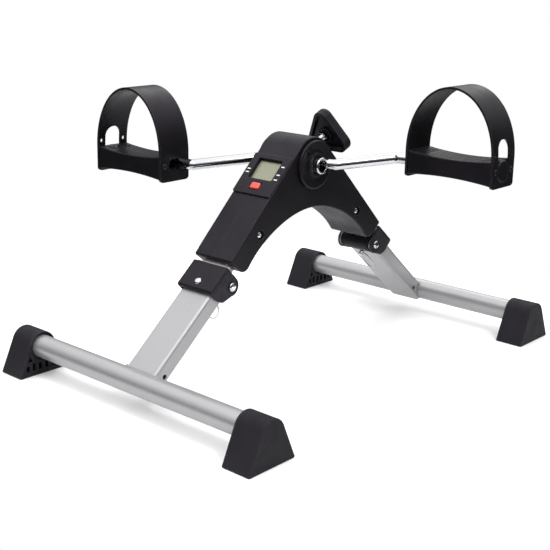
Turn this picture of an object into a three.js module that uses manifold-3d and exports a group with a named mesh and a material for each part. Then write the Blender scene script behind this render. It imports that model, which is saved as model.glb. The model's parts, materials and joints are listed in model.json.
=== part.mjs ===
// A folding pedal exerciser: a crank with two strapped pedals in a plastic-clad steel
// body, on two legs that fold inwards. Millimetres, +Z up. The crank axis runs along X
// above the origin, which lies on the floor; the display faces the rider at -Y.
import * as THREE from 'three';
import { mergeVertices } from 'three/addons/utils/BufferGeometryUtils.js';
import Module from 'manifold-3d';

const wasm = await Module();
wasm.setup();

// ---------------------------------------------------------------- driving dimensions
const GAP = 0.3;                    // clearance between neighbouring solids
const DEG = Math.PI / 180;

const CRANK_HEIGHT = 224.8;         // crank axis above the floor
const CRANK_THROW = 84;             // crank axis to pedal spindle
const CRANK_ANGLE = 5.4 * DEG;      // rise of the right arm at rest
const ROD_RADIUS = 6;

const PEDAL_CENTRE = 158;           // middle of a pedal from the centre plane
const PEDAL_HALF_LENGTH = 53.8;     // half the length over the strap
const PEDAL_HALF_WIDTH = 21.7;

const BAR_SPACING = 474.8;          // between the two floor bars
const BAR_HEIGHT = 31;
const BAR_RADIUS = 12.5;
const WIDTH_OVER_FEET = 368;
const FOOT_LENGTH = 33.7;
const FOOT_BASE = 66;
const FOOT_TOP = 16.5;              // radius of a foot over the bar

const HINGE_Y = 124.7;              // leg hinge bolts
const HINGE_Z = 111.5;
const LEG_SLOPE = 40.5 * DEG;
const LEG_HALF_WIDTH = 21.2;
const LEG_BACK = -3.7;              // back and front wall of the leg tube, seen from the hinge
const LEG_FRONT = 15;
const LOCK_DISTANCE = 15;           // lock pin to hinge, along the leg
const PIN_RADIUS = 3;

const BODY_HALF_WIDTH = 27;
const APEX_RADIUS = 30.5;
const WALL = 2.5;
const SHELL_BOLT = [83.3, 159.7];   // y and z of the bolts that clamp the shells

const KNOB_TILT = 24 * DEG;         // rise of the tension screw
const KNOB_DISTANCE = 56;           // crank axis to the knob's underside
const SCREW_TRAVEL = 3.75;          // how far the brake screw backs out

// ---------------------------------------------------------------- materials
const finish = (color, roughness, metalness = 0) => ({ color, roughness, metalness });
const BLACK_PLASTIC = finish(0x1b1b1e, 0.45);
const DARK_RUBBER = finish(0x2b2b2d, 0.75);
const SILVER_PAINT = finish(0xbdbec3, 0.35, 0.6);
const CHROME = finish(0xe0e2e6, 0.1, 1);
const ZINC = finish(0xa9abb0, 0.35, 0.9);
const NYLON = finish(0xd8d6cc, 0.6);
const FELT = finish(0x5b4a3a, 0.95);
const SCREEN = finish(0xb0b296, 0.3);
const RED_PLASTIC = finish(0xeb4b37, 0.4);
const BOARD_GREEN = finish(0x1f6b43, 0.6);

// ---------------------------------------------------------------- solids
const toSolid = (geometry) => {
  const bare = geometry.clone();
  bare.deleteAttribute('normal');
  bare.deleteAttribute('uv');
  const merged = mergeVertices(bare, 1e-4);
  return new wasm.Manifold(new wasm.Mesh({
    numProp: 3,
    vertProperties: new Float32Array(merged.attributes.position.array),
    triVerts: new Uint32Array(merged.index.array),
  }));
};

const toGeometry = (solid) => {
  const { vertProperties, triVerts } = solid.getMesh();
  const geometry = new THREE.BufferGeometry();
  geometry.setAttribute('position', new THREE.BufferAttribute(vertProperties, 3));
  geometry.setIndex(new THREE.BufferAttribute(triVerts, 1));
  geometry.computeVertexNormals();
  return geometry;
};

const cut = (solid, ...tools) => tools.reduce((rest, tool) => rest.subtract(tool), solid);
const join = (solid, ...more) => more.reduce((whole, piece) => whole.add(piece), solid);

const block = ([x0, x1], [y0, y1], [z0, z1]) => {
  const geometry = new THREE.BoxGeometry(x1 - x0, y1 - y0, z1 - z0);
  geometry.translate((x0 + x1) / 2, (y0 + y1) / 2, (z0 + z1) / 2);
  return toSolid(geometry);
};

// An outline drawn in (y, z), pulled out along X.
const ALONG_X = new THREE.Matrix4().makeBasis(
  new THREE.Vector3(0, 1, 0), new THREE.Vector3(0, 0, 1), new THREE.Vector3(1, 0, 0));

const prism = (shape, x0, x1, { curveSegments = 12, bevel = 0 } = {}) => {
  const geometry = new THREE.ExtrudeGeometry(shape, {
    depth: x1 - x0 - 2 * bevel,
    curveSegments,
    bevelEnabled: bevel > 0,
    bevelSize: bevel,
    bevelOffset: -bevel,
    bevelThickness: bevel,
    bevelSegments: 1,
  });
  geometry.applyMatrix4(ALONG_X);
  geometry.translate(x0 + bevel, 0, 0);
  return toSolid(geometry);
};

// A profile of [distance along the axis, radius] points turned about the X axis.
const turned = (profile, segments = 16) => {
  const points = profile.map(([along, radius]) => new THREE.Vector2(radius, along));
  const geometry = new THREE.LatheGeometry(points, segments);
  geometry.rotateZ(-Math.PI / 2);
  return toSolid(geometry);
};

const rod = (radius, x0, x1, segments = 16) =>
  turned([[x0, 0], [x0, radius], [x1, radius], [x1, 0]], segments);

const ring = (inner, outer, x0, x1, segments = 16) =>
  turned([[x0, inner], [x0, outer], [x1, outer], [x1, inner], [x0, inner]], segments);

// A solid moved by a three.js matrix.
const placed = (solid, matrix) => {
  const { vertProperties, triVerts } = solid.getMesh();
  const positions = new THREE.BufferAttribute(vertProperties, 3).applyMatrix4(matrix);
  return new wasm.Manifold(new wasm.Mesh({ numProp: 3, vertProperties: positions.array, triVerts }));
};

const moved = (solid, x, y, z) => placed(solid, new THREE.Matrix4().makeTranslation(x, y, z));
const aboutX = (solid, angle) => placed(solid, new THREE.Matrix4().makeRotationX(angle));
const aboutY = (solid, angle) => placed(solid, new THREE.Matrix4().makeRotationY(angle));
const aboutZ = (solid, angle) => placed(solid, new THREE.Matrix4().makeRotationZ(angle));
const QUARTER = Math.PI / 2;

// Something made along +X, stood up along +Z.
const upright = (solid) => aboutY(solid, -QUARTER);

const polygon = (points) => new THREE.Shape(points.map(([a, b]) => new THREE.Vector2(a, b)));

// A polygon whose corners are rounded to a radius each.
const roundedPolygon = (corners) => {
  const shape = new THREE.Shape();
  const point = (index) => new THREE.Vector2(...corners[(index + corners.length) % corners.length]);
  corners.forEach(([, , radius = 0], index) => {
    const here = point(index);
    const back = point(index - 1).sub(here).normalize();
    const ahead = point(index + 1).sub(here).normalize();
    const half = Math.acos(back.dot(ahead)) / 2;
    const reach = radius / Math.tan(half);
    const start = here.clone().addScaledVector(back, reach);
    const end = here.clone().addScaledVector(ahead, reach);
    if (index === 0) shape.moveTo(start.x, start.y);
    else shape.lineTo(start.x, start.y);
    if (radius > 0) shape.quadraticCurveTo(here.x, here.y, end.x, end.y);
  });
  shape.closePath();
  return shape;
};

// A path whose extrusion sections fall exactly on its own points.
class PointPath extends THREE.Curve {
  constructor(points) {
    super();
    this.points = points;
  }

  getPoint(t, target = new THREE.Vector3()) {
    const place = t * (this.points.length - 1);
    const first = Math.min(Math.floor(place), this.points.length - 2);
    return target.lerpVectors(this.points[first], this.points[first + 1], place - first);
  }

  getPointAt(t, target) {
    return this.getPoint(t, target);
  }

  getTangentAt(t, target = new THREE.Vector3()) {
    const index = Math.round(t * (this.points.length - 1));
    const before = this.points[Math.max(index - 1, 0)];
    const here = this.points[index];
    const after = this.points[Math.min(index + 1, this.points.length - 1)];
    const incoming = here.clone().sub(before).normalize();
    const outgoing = after.clone().sub(here).normalize();
    return target.copy(incoming).add(outgoing).normalize();
  }
}

const circleShape = (radius, sides) => polygon(Array.from({ length: sides }, (_, i) => {
  const angle = (2 * Math.PI * i) / sides;
  return [radius * Math.cos(angle), radius * Math.sin(angle)];
}));

const tube = (points, radius, sides) => toSolid(new THREE.ExtrudeGeometry(
  circleShape(radius, sides),
  { steps: points.length - 1, extrudePath: new PointPath(points), bevelEnabled: false }));

// ---------------------------------------------------------------- scene helpers
const group = new THREE.Group();

const add = (parent, name, solid, { color, roughness, metalness }) => {
  const material = new THREE.MeshStandardMaterial({ color, roughness, metalness });
  const mesh = new THREE.Mesh(toGeometry(solid), material);
  mesh.name = name;
  parent.add(mesh);
};

const subgroup = (parent, [x, y, z], { turn = 0, slope = 0 } = {}) => {
  const side = new THREE.Group();
  side.rotation.z = turn;
  parent.add(side);
  const child = new THREE.Group();
  child.position.set(x, y, z);
  child.rotation.x = slope;
  side.add(child);
  return child;
};

// ---------------------------------------------------------------- body shells
const ARM_HALF_WIDTH = 15;
const ARM_HALF_THICK = 7;
const ARM_SLOPE = 38.9 * DEG;       // from the crank axis down to the hinge bracket
const ARM_END = 160;                // distance of the arm's end from the crank axis

const CONSOLE_CENTRE = [0, -51.3, 216.7];
const CONSOLE_SLOPE = 45 * DEG;
const TRAY_HALF = 22;               // half the side of the square tray behind its face
const SCREW_PORT = 5;               // radii of the holes for the tension screw and the crank
const CRANK_PORT = 10;

// The arched outline seen from the side, shrunk by an inset for the cavity.
const bodyOutline = (inset) => {
  const shape = new THREE.Shape();
  const outer = (APEX_RADIUS - inset) * Math.SQRT2;
  const tip = [127.5 - inset, CRANK_HEIGHT + outer - 127.5 + inset];
  const toe = [107 + inset * 0.1, 120.6 + inset * 1.4];
  const heel = [98, 131.4 + inset];
  const crown = 176.7 + inset;
  const tangent = Math.SQRT1_2 * (APEX_RADIUS - inset);
  shape.moveTo(tangent, CRANK_HEIGHT + tangent);
  shape.absarc(0, CRANK_HEIGHT, APEX_RADIUS - inset, 45 * DEG, 135 * DEG, false);
  shape.lineTo(-tip[0], tip[1]);
  shape.quadraticCurveTo(-tip[0] - 1.6, tip[1] - 2, -tip[0] + 1.6, tip[1] - 4.5);
  shape.lineTo(-toe[0] - 7, toe[1] + 5.8);
  shape.quadraticCurveTo(-toe[0], toe[1], -toe[0] + 5.8, toe[1] + 7);
  shape.lineTo(-heel[0], heel[1]);
  shape.bezierCurveTo(-80, 153 + inset, -40, crown, 0, crown);
  shape.bezierCurveTo(40, crown, 80, 153 + inset, heel[0], heel[1]);
  shape.lineTo(toe[0] - 5.8, toe[1] + 7);
  shape.quadraticCurveTo(toe[0], toe[1], toe[0] + 7, toe[1] + 5.8);
  shape.lineTo(tip[0] - 1.6, tip[1] - 4.5);
  shape.quadraticCurveTo(tip[0] + 1.6, tip[1] - 2, tip[0], tip[1]);
  shape.closePath();
  return shape;
};

// A box in the frame of one arm: along it from the crank axis, and across it.
const armBox = (side, halfWidth, [from, to], [low, high]) => {
  const bar = block([-halfWidth, halfWidth], side > 0 ? [from, to] : [-to, -from], [low, high]);
  return moved(aboutX(bar, -side * ARM_SLOPE), 0, 0, CRANK_HEIGHT);
};

const consoleBox = (halfWidth, y, z) =>
  moved(aboutX(block([-halfWidth, halfWidth], y, z), CONSOLE_SLOPE), ...CONSOLE_CENTRE);

const atCrank = (solid) => moved(solid, 0, 0, CRANK_HEIGHT);

// Anything turned about X, pointed along the tension screw from the crank axis.
const alongScrew = (solid) =>
  atCrank(aboutX(aboutZ(solid, QUARTER), KNOB_TILT));

// A rod made along +X and its mirror image.
const rodPair = (radius, x0, x1, segments) =>
  [rod(radius, x0, x1, segments), rod(radius, -x1, -x0, segments)];

// Copies of some solids at both shell bolts.
const atShellBolts = (...solids) => [-1, 1].flatMap((side) =>
  solids.map((solid) => moved(solid, 0, side * SHELL_BOLT[0], SHELL_BOLT[1])));

const SHELL_BOLT_RADIUS = 2;
const BOLT_WELL = 23;               // floor of the well a bolt head sits in

const addShells = (parent) => {
  const rounding = { curveSegments: 8, bevel: 1.2 };
  const skin = prism(bodyOutline(0), -BODY_HALF_WIDTH, BODY_HALF_WIDTH, rounding);
  const cavityHalf = BODY_HALF_WIDTH - WALL;
  const cavity = prism(bodyOutline(WALL), -cavityHalf, cavityHalf, { curveSegments: 5 });
  const armPorts = [-1, 1].map((side) => armBox(
    side, ARM_HALF_WIDTH + 0.5, [120, 170], [-ARM_HALF_THICK - 0.5, ARM_HALF_THICK + 0.5]));
  const ported = cut(
    skin,
    cavity,
    ...armPorts,
    consoleBox(TRAY_HALF + 0.5, [-TRAY_HALF - 0.5, TRAY_HALF + 0.5], [-8, 8]),
    alongScrew(rod(SCREW_PORT, 20, 50)),
    atCrank(rod(CRANK_PORT, -30, 30)));
  const sockets = atShellBolts(...rodPair(7, ARM_HALF_WIDTH + 0.6, cavityHalf + GAP, 14));
  const holes = atShellBolts(
    rod(SHELL_BOLT_RADIUS + 0.4, -30, 30, 12), ...rodPair(4.9, BOLT_WELL, 30, 14));
  const drilled = cut(join(ported, ...sockets), ...holes);
  const half = (x0, x1) => block([x0, x1], [-200, 200], [50, 300]);
  add(parent, 'shell_right', drilled.intersect(half(GAP / 2, 40)), BLACK_PLASTIC);
  add(parent, 'shell_left', drilled.intersect(half(-40, -GAP / 2)), BLACK_PLASTIC);
};

const hexagon = (radius) => polygon(Array.from({ length: 6 }, (_, i) =>
  [radius * Math.cos(i * 60 * DEG), radius * Math.sin(i * 60 * DEG)]));

const hexNut = (radius, bore, x0, x1) =>
  cut(prism(hexagon(radius), x0, x1), rod(bore, x0 - 1, x1 + 1, 16));

const addShellBolts = (parent) => {
  const seat = BOLT_WELL + GAP;
  const bolt = turned([
    [-25.2, 0], [-25.2, SHELL_BOLT_RADIUS], [seat, SHELL_BOLT_RADIUS],
    [seat, 3.8], [24.6, 3.8], [25.6, 2.4], [25.6, 0]]);
  const socket = prism(hexagon(1.5), 24.2, 26);
  const [near, far] = atShellBolts(cut(bolt, socket));
  add(parent, 'near_shell_bolt', near, CHROME);
  add(parent, 'far_shell_bolt', far, CHROME);
};

// ---------------------------------------------------------------- steel frame
const HUB_RADIUS = 15;
const HUB_BORE = 9.6;
const HUB_HALF_LENGTH = 24;
const BOSS_RADIUS = 9;              // hexagonal boss welded to the hub for the tension screw
const SCREW_RADIUS = 4;
const PAD_RADIUS = 6.1;
const PAD_TOP = 12;                 // of the brake pad, from the crank axis

// The bracket at a hinge: a web over the leg and an ear on either side of it.
const EAR_INNER = LEG_HALF_WIDTH + GAP;
const EAR_THICK = 1.5;
const WEB = [LEG_FRONT + GAP, 17.3];

const BRACKET_END = -22.6;          // its lower end, along the leg
const EAR_RADIUS = 9.3;
const BARREL_RADIUS = 10;
const BOLT_BORE = 3.4;

const earOutline = () => {
  const shape = new THREE.Shape();
  const start = -140 * DEG;
  shape.moveTo(EAR_RADIUS, WEB[1]);
  shape.lineTo(BRACKET_END, WEB[1]);
  shape.lineTo(BRACKET_END + 1.2, 5.5);
  shape.lineTo(EAR_RADIUS * Math.cos(start), EAR_RADIUS * Math.sin(start));
  shape.absarc(0, 0, EAR_RADIUS, start, 8 * DEG, false);
  shape.closePath();
  return shape;
};

// Built around the hinge bolt with y along the leg towards the body and z to its front.
const bracketSolid = () => {
  const outer = EAR_INNER + EAR_THICK;
  const slotHalf = PIN_RADIUS + 0.6;
  const web = block([-outer, outer], [BRACKET_END, 12], WEB);
  const ears = [[-outer, -EAR_INNER], [EAR_INNER, outer]].map(([x0, x1]) =>
    prism(earOutline(), x0, x1, { curveSegments: 8 }));
  const slot = block([-slotHalf, slotHalf], [-30, -LOCK_DISTANCE], [10, 20]);
  const slotEnd = moved(upright(rod(slotHalf, 10, 20, 16)), 0, -LOCK_DISTANCE, 0);
  return cut(join(web, ...ears), slot, slotEnd, rod(BOLT_BORE, -40, 40));
};

// The rectangular arm tube, in the hinge frame it is welded into.
const inHingeFrame = (solid, side) => {
  const hinge = moved(aboutX(solid, LEG_SLOPE), 0, -HINGE_Y, HINGE_Z);
  return side < 0 ? hinge : aboutZ(hinge, Math.PI);
};

const frameArm = (side) => {
  const wall = 1.5;
  const innerThick = ARM_HALF_THICK - wall;
  const box = armBox(side, ARM_HALF_WIDTH, [8, ARM_END], [-ARM_HALF_THICK, ARM_HALF_THICK]);
  const bore = armBox(side, ARM_HALF_WIDTH - wall, [0, ARM_END + 5], [-innerThick, innerThick]);
  const boltHoles = atShellBolts(rod(SHELL_BOLT_RADIUS + 0.6, -30, 30, 12));
  const clearBarrel = inHingeFrame(rod(BARREL_RADIUS + 0.8, -18, 18, 24), side);
  const saddle = atCrank(rod(HUB_RADIUS + GAP, -30, 30, 24));
  const screwRoom = alongScrew(rod(BOSS_RADIUS + 0.5, 14, 60, 16));
  const bar = cut(box, bore, ...boltHoles, saddle, screwRoom, clearBarrel);
  return join(bar, inHingeFrame(bracketSolid(), side));
};

// Anything made along +X, pointed from the crank axis to the speed sensor.
const alongSensor = (solid) => atCrank(aboutX(aboutZ(solid, QUARTER), 150 * DEG));

const SENSOR_RADIUS = 2.2;

const addFrame = (parent) => {
  const padRoom = PAD_TOP + SCREW_TRAVEL + GAP;
  const padWay = alongScrew(rod(PAD_RADIUS + 0.4, 0, padRoom, 20));
  const sensorBore = alongSensor(rod(SENSOR_RADIUS + 0.4, 0, 30, 12));
  const hub = atCrank(ring(HUB_BORE, HUB_RADIUS, -HUB_HALF_LENGTH, HUB_HALF_LENGTH, 24));
  const inside = atCrank(rod(HUB_RADIUS - 0.5, -30, 30, 24));
  const boss = cut(alongScrew(hexNut(BOSS_RADIUS, SCREW_RADIUS + 0.35, 10, 22)), inside);
  add(parent, 'hub_tube', cut(join(hub, boss), padWay, sensorBore), ZINC);
  add(parent, 'near_frame_arm', frameArm(-1), SILVER_PAINT);
  add(parent, 'far_frame_arm', frameArm(1), SILVER_PAINT);
  const bush = ring(ROD_RADIUS + 0.4, HUB_BORE - GAP, 13.5, HUB_HALF_LENGTH);
  add(parent, 'right_hub_bush', atCrank(bush), NYLON);
  add(parent, 'left_hub_bush', atCrank(aboutZ(bush, Math.PI)), NYLON);
  add(parent, 'speed_sensor', alongSensor(rod(SENSOR_RADIUS, 9.8, 22, 12)), NYLON);
};

// ---------------------------------------------------------------- hub covers and crank
const addHubCovers = (parent) => {
  const inner = BODY_HALF_WIDTH + GAP;
  const profile = [[inner, 10], [inner, 26.2], [29.4, 27], [30.8, 26.4], [31.5, 24.6],
    [30.6, 15.5], [30.6, 13.5], [33.2, 13], [33.2, 10], [inner, 10]];
  const dish = turned(profile, 28);
  const notch = aboutX(block([29.3, 40], [-3.5, 3.5], [15.5, 22]), 48 * DEG);
  const cover = cut(dish, notch);
  add(parent, 'right_hub_cover', atCrank(cover), BLACK_PLASTIC);
  add(parent, 'left_hub_cover', atCrank(aboutZ(cover, Math.PI)), BLACK_PLASTIC);
};

const BEND_RADIUS = 13;
const SPLAY_FROM = 58;              // the arm's corners, across the machine
const SPLAY_TO = 78;
const ROD_END = 205;
const DRUM_RADIUS = 8.8;

// Corner points of the rod and its bends, in the plane of crank axis and arm.
const filletPoints = (corners, radius, steps) => corners.flatMap((corner, index) => {
  if (index === 0 || index === corners.length - 1) return [corner];
  const back = corners[index - 1].clone().sub(corner).normalize();
  const ahead = corners[index + 1].clone().sub(corner).normalize();
  const half = Math.acos(back.dot(ahead)) / 2;
  const middle = back.clone().add(ahead).normalize();
  const centre = corner.clone().addScaledVector(middle, radius / Math.sin(half));
  const start = corner.clone().addScaledVector(back, radius / Math.tan(half)).sub(centre);
  const end = corner.clone().addScaledVector(ahead, radius / Math.tan(half)).sub(centre);
  return Array.from({ length: steps + 1 }, (_, i) => {
    const mix = start.clone().lerp(end, i / steps);
    return centre.clone().addScaledVector(mix.normalize(), radius);
  });
});

const addCrank = (parent) => {
  const arm = (x, reach) =>
    new THREE.Vector3(x, reach * Math.cos(CRANK_ANGLE), reach * Math.sin(CRANK_ANGLE));
  const corners = [
    arm(-ROD_END, -CRANK_THROW), arm(-SPLAY_TO, -CRANK_THROW), arm(-SPLAY_FROM, 0),
    arm(SPLAY_FROM, 0), arm(SPLAY_TO, CRANK_THROW), arm(ROD_END, CRANK_THROW),
  ];
  const centreline = filletPoints(corners, BEND_RADIUS, 4);
  add(parent, 'crank_rod', atCrank(tube(centreline, ROD_RADIUS, 12)), CHROME);
  add(parent, 'brake_drum', atCrank(ring(ROD_RADIUS + GAP, DRUM_RADIUS, -12, 12)), ZINC);
  for (const [name, turn] of [['right', 0], ['left', Math.PI]]) {
    const collar = ring(ROD_RADIUS + GAP, 9.2, 33.6, 40.4, 20);
    const grub = moved(upright(rod(1.6, 5, 12, 10)), 37, 0, 0);
    add(parent, `${name}_crank_collar`, atCrank(aboutZ(cut(collar, grub), turn)), CHROME);
  }
};

// ---------------------------------------------------------------- tension control
const KNOB_THICK = 12.8;

const knobOutline = (reach, corner) => roundedPolygon([90, 210, 330].map((angle) =>
  [reach * Math.cos(angle * DEG), reach * Math.sin(angle * DEG), corner]));

const addTension = (parent) => {
  const rounding = { curveSegments: 6, bevel: 1.2 };
  const plate = prism(knobOutline(39.5, 10), KNOB_DISTANCE, KNOB_DISTANCE + KNOB_THICK, rounding);
  const dish = rod(16, KNOB_DISTANCE - 1, KNOB_DISTANCE + 4, 20);
  const boss = rod(9, KNOB_DISTANCE + 0.5, KNOB_DISTANCE + 8);
  const socket = rod(SCREW_RADIUS + GAP, KNOB_DISTANCE - 1, KNOB_DISTANCE + 7.5, 16);
  add(parent, 'tension_knob', alongScrew(cut(join(cut(plate, dish), boss), socket)), BLACK_PLASTIC);
  const screw = join(
    rod(SCREW_RADIUS, PAD_TOP + 0.4, KNOB_DISTANCE + 7, 20),
    prism(hexagon(6.8), KNOB_DISTANCE - 4.6, KNOB_DISTANCE + 0.1));
  add(parent, 'tension_screw', alongScrew(screw), CHROME);
  const drum = atCrank(rod(DRUM_RADIUS + GAP, -20, 20, 32));
  const pad = cut(alongScrew(rod(PAD_RADIUS, 7, PAD_TOP, 20)), drum);
  add(parent, 'brake_pad', pad, FELT);
};

// ---------------------------------------------------------------- console
const SCREEN_Y = [-6.9, 18.7];
const SCREEN_HALF = 16.3;
const BUTTON_Y = -16.4;

const addConsole = (parent) => {
  const face = subgroup(parent, CONSOLE_CENTRE, { slope: CONSOLE_SLOPE });
  const [capLow, capHigh, capTop] = [-27.6, 25.4, 2.3];
  const trayRoom = TRAY_HALF - 1.7;
  const capSection = roundedPolygon([
    [capLow, GAP], [capHigh, GAP], [capHigh, capTop, 1], [capLow, capTop, 1]]);
  const cap = prism(capSection, -26.6, 26.6);
  const tray = block([-TRAY_HALF, TRAY_HALF], [-TRAY_HALF, TRAY_HALF], [-10, 1]);
  const housing = cut(
    join(cap, tray),
    block([-trayRoom, trayRoom], [-trayRoom, trayRoom], [-12, -1]),
    block([-SCREEN_HALF, SCREEN_HALF], SCREEN_Y, [-5, 5]),
    block([-6.5, 6.5], [BUTTON_Y - 4.5, BUTTON_Y + 4.5], [-5, 5]));
  add(face, 'console_housing', housing, BLACK_PLASTIC);
  const pane = block(
    [-SCREEN_HALF + GAP, SCREEN_HALF - GAP], [SCREEN_Y[0] + GAP, SCREEN_Y[1] - GAP], [-3.2, -1.9]);
  add(face, 'console_screen', pane, SCREEN);
  const button = prism(
    roundedPolygon([[-4.1, 0], [4.1, 0], [4.1, 3.3, 0.8], [-4.1, 3.3, 0.8]]), -6.1, 6.1);
  add(face, 'reset_button', moved(button, 0, BUTTON_Y, 0), RED_PLASTIC);
  const boardHalf = trayRoom - 0.5;
  const board = block([-boardHalf, boardHalf], [-boardHalf, boardHalf], [-5, -3.6]);
  add(face, 'console_board', board, BOARD_GREEN);
  add(face, 'console_battery', moved(upright(rod(8, -8.8, -5.4, 24)), 6, 6, 0), ZINC);
};

// ---------------------------------------------------------------- pedals
const PLATE_TOP = 11;
const PLATE_BOTTOM = -15.2;
const STRAP_THICK = 2.5;
const STRAP_SPRING = 12;            // height where the strap's arch starts
const STRAP_RISE = 71;
const STRAP_FOOT = -18;
const STRAP_SCREW_Y = 15.5;

// The strap seen from the front in (x, z): two straight legs under half an ellipse.
const strapOutline = () => {
  const shape = new THREE.Shape();
  const outer = PEDAL_HALF_LENGTH;
  const inner = outer - STRAP_THICK;
  shape.moveTo(outer, STRAP_FOOT);
  shape.lineTo(outer, STRAP_SPRING);
  shape.absellipse(0, STRAP_SPRING, outer, STRAP_RISE, 0, Math.PI, false);
  shape.lineTo(-outer, STRAP_FOOT);
  shape.lineTo(-inner, STRAP_FOOT);
  shape.lineTo(-inner, STRAP_SPRING);
  shape.absellipse(0, STRAP_SPRING, inner, STRAP_RISE - STRAP_THICK, Math.PI, 0, true);
  shape.lineTo(inner, STRAP_FOOT);
  shape.closePath();
  return shape;
};

// An outline drawn in (x, z), pulled out along Y between two places.
const across = (shape, y0, y1, curveSegments) =>
  aboutZ(prism(shape, -y1, -y0, { curveSegments }), -QUARTER);

const platformSolid = () => {
  const half = PEDAL_HALF_LENGTH - STRAP_THICK - GAP;
  const outline = new THREE.Shape();
  outline.moveTo(-half, PLATE_BOTTOM);
  outline.quadraticCurveTo(0, PLATE_BOTTOM + 6, half, PLATE_BOTTOM);
  outline.lineTo(half, PLATE_TOP);
  outline.quadraticCurveTo(0, PLATE_TOP - 7, -half, PLATE_TOP);
  outline.closePath();
  const slab = across(outline, -PEDAL_HALF_WIDTH + 0.7, PEDAL_HALF_WIDTH - 0.7, 8);
  const pockets = [-1, 1].flatMap((end) => [-1, 1].map((side) => block(
    end > 0 ? [4, 34] : [-34, -4], side > 0 ? [10.5, 18.5] : [-18.5, -10.5], [-20, 3])));
  const recess = rod(10.5, 42.3, 60, 24);
  const screwHoles = [-1, 1].flatMap((end) => [-1, 1].map((side) =>
    moved(end > 0 ? rod(1.8, 42, 60, 10) : rod(1.8, -60, -42, 10), 0, side * STRAP_SCREW_Y, 0)));
  const bores = [rod(6.6, -60, 60), rod(8.5, -60, -37.7), rod(8.5, 28.7, 60)];
  return cut(slab, ...pockets, recess, ...bores, ...screwHoles);
};

const strapSolid = () => {
  const band = across(strapOutline(), -PEDAL_HALF_WIDTH, PEDAL_HALF_WIDTH, 12);
  const [windowHalf, windowLow, windowHigh] = [11.2, -12.5, 32.5];
  const windowShape = roundedPolygon([
    [-windowHalf, windowLow, 9], [windowHalf, windowLow, 9],
    [windowHalf, windowHigh, 10], [-windowHalf, windowHigh, 10],
  ]);
  const footing = roundedPolygon([
    [-PEDAL_HALF_WIDTH, STRAP_FOOT, 5], [PEDAL_HALF_WIDTH, STRAP_FOOT, 5],
    [PEDAL_HALF_WIDTH, 100], [-PEDAL_HALF_WIDTH, 100],
  ]);
  const holes = [-1, 1].flatMap((side) => [
    moved(rod(1.9, -60, 60, 10), 0, side * STRAP_SCREW_Y, 0),
    moved(rod(2.2, 40, 60, 10), 0, side * 16.4, 17),
  ]);
  const trimmed = band.intersect(prism(footing, -70, 70, { curveSegments: 4 }));
  return cut(trimmed, prism(windowShape, 40, 60, { curveSegments: 4 }), rod(8.6, -60, -40, 16), ...holes);
};

const addPedal = (parent, name, turn) => {
  const rise = CRANK_THROW * Math.sin(CRANK_ANGLE) * (turn ? -1 : 1);
  const spindle = [PEDAL_CENTRE, CRANK_THROW * Math.cos(CRANK_ANGLE), CRANK_HEIGHT + rise];
  const pedal = subgroup(parent, spindle, { turn });
  const outer = PEDAL_HALF_LENGTH;
  add(pedal, `${name}_pedal_platform`, platformSolid(), BLACK_PLASTIC);
  add(pedal, `${name}_pedal_strap`, strapSolid(), BLACK_PLASTIC);
  add(pedal, `${name}_pedal_inner_bush`, ring(ROD_RADIUS + 0.4, 8.2, -50.5, -38), BLACK_PLASTIC);
  add(pedal, `${name}_pedal_outer_bush`, ring(ROD_RADIUS + 0.4, 8.2, 29, 41.5), BLACK_PLASTIC);
  add(pedal, `${name}_spindle_washer`, ring(ROD_RADIUS + GAP, 9.8, 43, 45), ZINC);
  const oval = roundedPolygon([[-10.8, -12, 9], [10.8, -12, 9], [10.8, 10.6, 9], [-10.8, 10.6, 9]]);
  const plug = rod(9.9, 48, outer, 24);
  const coverPlate = prism(oval, outer - STRAP_THICK + 0.1, outer + 1.4, { curveSegments: 5 });
  add(pedal, `${name}_spindle_cap`, join(coverPlate, plug), BLACK_PLASTIC);
};

// ---------------------------------------------------------------- legs and hinges
// Each is built around its hinge bolt: x across, y along the leg up to the body, z to its front.
const BAR_OUT = BAR_SPACING / 2 - HINGE_Y;
const BAR_DOWN = HINGE_Z - BAR_HEIGHT;
const BAR_U = -BAR_OUT * Math.cos(LEG_SLOPE) - BAR_DOWN * Math.sin(LEG_SLOPE);
const BAR_N = BAR_OUT * Math.sin(LEG_SLOPE) - BAR_DOWN * Math.cos(LEG_SLOPE);

const legTube = () => {
  const wall = 1.5;
  const middle = (LEG_BACK + LEG_FRONT) / 2;
  const section = (inset) => {
    const half = LEG_HALF_WIDTH - inset;
    const corner = 3 - inset;
    return roundedPolygon([
      [-half, LEG_BACK + inset, corner], [half, LEG_BACK + inset, corner],
      [half, LEG_FRONT - inset, corner], [-half, LEG_FRONT - inset, corner],
    ]);
  };
  const length = [BAR_U - 2, -2];
  const outside = across(section(0), ...length, 3);
  const inside = across(section(wall), length[0] - 5, length[1] + 5, 3);
  const drain = moved(rod(2.6, -30, 30, 12), 0, BAR_U + 19, middle - 2.4);
  return cut(
    outside,
    inside,
    moved(rod(BAR_RADIUS + GAP, -40, 40, 28), 0, BAR_U, BAR_N),
    rod(BARREL_RADIUS + GAP, -40, 40, 24),
    moved(upright(rod(PIN_RADIUS + 0.4, -40, 40, 16)), 0, -LOCK_DISTANCE, 0),
    drain);
};

// The middle and the top of each pocket in a foot's inner face, seen from the bar.
const FOOT_POCKETS = [[4.2, -17.5], [12.4, -16.5], [20.2, -18.5]];
const POCKET_FLOOR = -25.5;
const POCKET_HALF = 2.3;

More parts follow.
